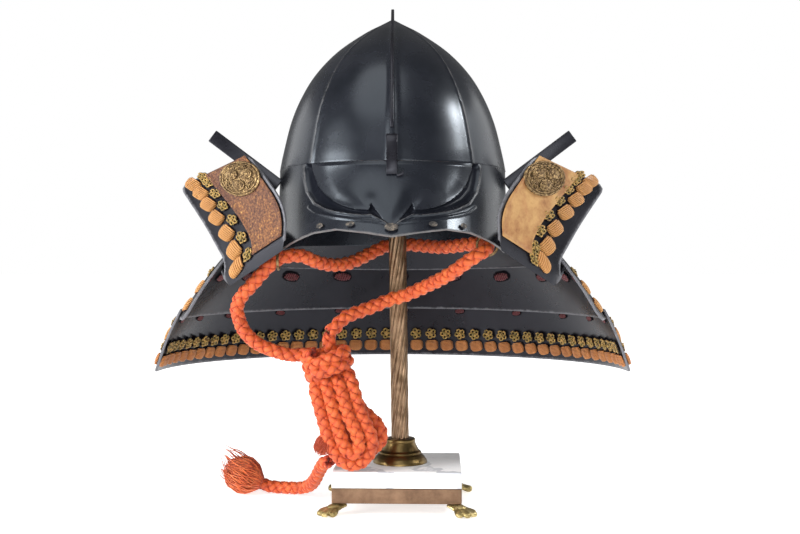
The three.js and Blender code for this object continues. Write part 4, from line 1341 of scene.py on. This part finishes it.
def bendOnto(piece, side):  # lays a flat flower on the curved leather
    flat = meshPoints(piece) * 1000 - (0, columnY, 0)
    along = disc["along"] + flat[:, 0] / disc["length"]
    across = disc["across"] + flat[:, 1] / disc["width"]
    low = lameWall + leather["gap"] + leather["wall"]
    bent = turnBackSurface(along, across, low + flat[:, 2] * 0.9)[0] * (side, 1, 1)
    piece.data.vertices.foreach_set("co", place(bent).ravel())
    piece.data.update()


addLeather()
addDiscs()
print("turn-backs done")


# Display stand
stand = {
    "centreX": 5.7, "turn": -2, "width": 119, "depth": 107.5, "marble": (24.9, 39.6), "marbleEdge": 0.8,
    "metal": (10.8, 24.6), "metalEdge": 0.9,
}
column = {
    "foot": (7.1, 0, 63.2), "top": (2.2, 0, 437), "radius": 8.5, "flutes": 10, "depth": 1.5,
    "turnLength": 235,
}
# radius and height, from the marble up
flange = [
    (26, 39.9), (26.0, 41), (25.3, 42.8), (23.8, 45), (21.8, 47.2), (20.2, 48.6), (20.5, 49.4), (20, 50.3),
    (18.2, 51.8), (16.6, 54.4), (15.3, 57), (14.4, 59.4), (14.8, 60.4), (14.6, 62), (13.8, 62.9), (8.7, 62.9),
]


def onStand(x, y, z):  # a point of the turned base
    turn = math.radians(stand["turn"])
    turnedX = stand["centreX"] + x * math.cos(turn) - y * math.sin(turn)
    return turnedX, x * math.sin(turn) + y * math.cos(turn), z


def addSlab(name, levels, edge, material, slotName, node):
    low, high = levels
    slab = addBlock(name, (stand["width"], stand["depth"], high - low), (0, 0, math.radians(stand["turn"])),
                    (stand["centreX"], 0, (low + high) / 2))
    applyModifier(slab, "BEVEL", width=edge / 1000, segments=3)
    dress(slab, material, 40)
    belong(slab, slotName, node)


def addColumn():
    foot, top = np.array(column["foot"]), np.array(column["top"])
    length = np.linalg.norm(top - foot)

    def shape(u, v):
        angle = 2 * math.pi * u
        rise = v * length
        twist = 2 * math.pi * rise / column["turnLength"]
        flute = np.abs(np.sin((angle - twist) * column["flutes"] / 2))
        radius = column["radius"] - column["depth"] * (1 - flute) ** 1.6
        middle = foot + (top - foot) * v[:, None]
        return middle + np.column_stack([np.sin(angle) * radius, -np.cos(angle) * radius, np.zeros_like(u)])

    rod = formGrid("standColumn", 132, 150, shape, closed=True)
    closeEnds(rod)
    dress(rod, columnBronze, 60)
    belong(rod, "column_bronze", "stand_column")


def addFlange():
    profile = np.array(flange, float)

    def shape(u, v):
        at = v * (len(profile) - 1)
        radius = np.interp(at, np.arange(len(profile)), profile[:, 0])
        height = np.interp(at, np.arange(len(profile)), profile[:, 1])
        angle = 2 * math.pi * u
        return np.column_stack([column["foot"][0] + np.sin(angle) * radius, -np.cos(angle) * radius, height])

    foot = formGrid("columnFlange", 96, 60, shape, closed=True)
    closeEnds(foot)
    dress(foot, agedBrass, 35)
    belong(foot, "worn_brass", "column_flange")


# toes are turns from the corner's own way and reaches; the other rows are ahead and up from the corner
paw = {
    "toes": [(-30, 18.5), (-10, 22), (11, 23), (31, 19.5)], "toeWide": 4.3, "toeThick": 2.952, "inset": 6,
    "toeTaper": ([0, 0.4, 0.75, 0.93, 1], [0.7, 0.75, 1, 0.9, 0.35]),
    "ankle": [(-5, 8.4), (0, 7.4), (6, 5.2), (12, 3.4)], "ankleWide": 6.4, "ankleThick": 2.6,
    "knee": [(3, 6.6), (7, 6.4), (12, 5)], "kneeWide": 5.4, "kneeThick": 4.2,
}


def addFeet():  # cast paws: toes that fan out from an ankle under each corner
    for n, (sideX, sideY) in enumerate(((-1, -1), (1, -1), (1, 1), (-1, 1))):
        halfWidth, halfDepth = stand["width"] / 2 - paw["inset"], stand["depth"] / 2 - paw["inset"]
        start = np.array(onStand(sideX * halfWidth, sideY * halfDepth, 0))
        heading = math.atan2(sideY, sideX) + math.radians(stand["turn"])

        def towards(turn, rows, step):
            way = heading + math.radians(turn)
            ahead = np.array([math.cos(way), math.sin(way), 0])
            return smoothRoute([start + ahead * reach + (0, 0, up) for reach, up in rows], step)[0]

        tubes = []
        for turn, reach in paw["toes"]:
            rows = [(-2, 8.2), (5, 8), (reach * 0.5, 5.6), (reach * 0.75, 3.9), (reach - 2, 3.2),
                    (reach, 2.4)]
            toe = towards(turn, rows, 1.2)
            taper = np.interp(np.linspace(0, 1, len(toe)), *paw["toeTaper"])
            tubes.append(tubeData(toe, paw["toeWide"], paw["toeThick"], 10, taper=taper))
        ankle = towards(0, paw["ankle"], 1.2)
        taper = np.interp(np.linspace(0, 1, len(ankle)), [0, 0.5, 1], [1, 1, 0.6])
        tubes.append(tubeData(ankle, paw["ankleWide"], paw["ankleThick"], 12, taper=taper))
        knee = towards(0, paw["knee"], 0.8)
        taper = np.sqrt(np.sin(np.linspace(0.15, 2.9, len(knee))))
        tubes.append(tubeData(knee, paw["kneeWide"], paw["kneeThick"], 14, taper=taper))
        belong(meshFromTubes(f"baseFoot{n + 1}", tubes, castBrass), "worn_brass", f"base_foot_{n + 1}")


def addStand():
    addSlab("marbleSlab", stand["marble"], stand["marbleEdge"], marble, "marble", "marble_slab")
    addSlab("brassBaseFrame", stand["metal"], stand["metalEdge"], baseBronze, "base_bronze",
            "brass_base_frame")
    addColumn()
    addFlange()
    addFeet()
    plainNodes = {"support_cap": columnBronze, "cord_ring_left": gilt, "cord_ring_right": gilt}
    for node, material in plainNodes.items():
        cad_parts[node].data.materials.clear()
        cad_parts[node].data.materials.append(material)


addStand()
print("stand done")


# Floor and light
studio = {
    "sky": 1.0, "fill": 0.17, "floor": 0.9, "floorSize": 60, "floorRoughness": 0.6, "glow": 0.66,
    "sun": 1.15, "sunAngle": 50, "sunTurn": (24, -14),
}
lamps = {  # place, aim, size and power
    "keyLeft": ((-1.9, -1.0, 0.7), (0, 0, 0.3), 1.05, 50),
    "fillRight": ((1.75, -0.1, 1.45), (0, 0, 0.3), 0.42, 22),
    "frontLow": ((0.3, -3.0, 0.8), (0, 0, 0.2), 1.4, 22),
    "frontUnder": ((-0.2, -1.7, 0.1), (0, 0, 0.28), 0.6, 5),
    "edgeRight": ((1.9, 1.1, 0.7), (0, 0, 0.3), 1.6, 11),
    "edgeLeft": ((-1.9, 1.2, 0.7), (0, 0, 0.3), 1.4, 9),
}


def addFloor():
    deselectAll()
    bpy.ops.mesh.primitive_plane_add(size=studio["floorSize"], location=(0, 10, 0))
    floor = bpy.context.object
    floor.name = "studioFloor"
    material, tree, shader = newMaterial("studioFloor", Roughness=studio["floorRoughness"],
                                         Emission_Color=(1, 1, 1, 1), Emission_Strength=studio["glow"])
    patches = addGroup(tree, mottle, Scale=3.0, Low=0.3, High=0.7, Depth=0.0)
    pale = [(n, (studio["floor"] * shade,) * 3) for n, shade in enumerate((1, 1.02))]
    feed(tree, shader.inputs["Base Color"], addRamp(tree, patches["Mask"], pale))
    floor.data.materials.append(material)


def addLamps():
    for name, (where, aim, size, power) in lamps.items():
        bpy.ops.object.light_add(type="AREA", location=where)
        lamp = bpy.context.object
        lamp.name = name
        lamp.data.shape = "SQUARE"
        lamp.data.size = size
        lamp.data.energy = power
        lamp.rotation_euler = (Vector(aim) - Vector(where)).to_track_quat("-Z", "Y").to_euler()
    slope, lean = np.radians(studio["sunTurn"])
    bpy.ops.object.light_add(type="SUN", location=(0, -1, 3), rotation=(slope, lean, 0))
    sun = bpy.context.object
    sun.name = "softOverhead"
    sun.data.angle = math.radians(studio["sunAngle"])
    sun.data.energy = studio["sun"]


def addWorld():  # white where the camera sees it, and a weak fill for all else
    world = bpy.data.worlds.new("studio")
    world.use_nodes = True
    tree = world.node_tree
    rays = addNode(tree, "ShaderNodeLightPath").outputs
    background = tree.nodes["Background"].inputs
    feed(tree, background["Strength"], addRange(tree, rays["Is Camera Ray"], studio["fill"], studio["sky"]))
    background["Color"].default_value = (1, 1, 1, 1)
    bpy.context.scene.world = world
    bpy.context.scene.view_settings.view_transform = "Standard"


addFloor()
addLamps()
addWorld()
print("studio done")
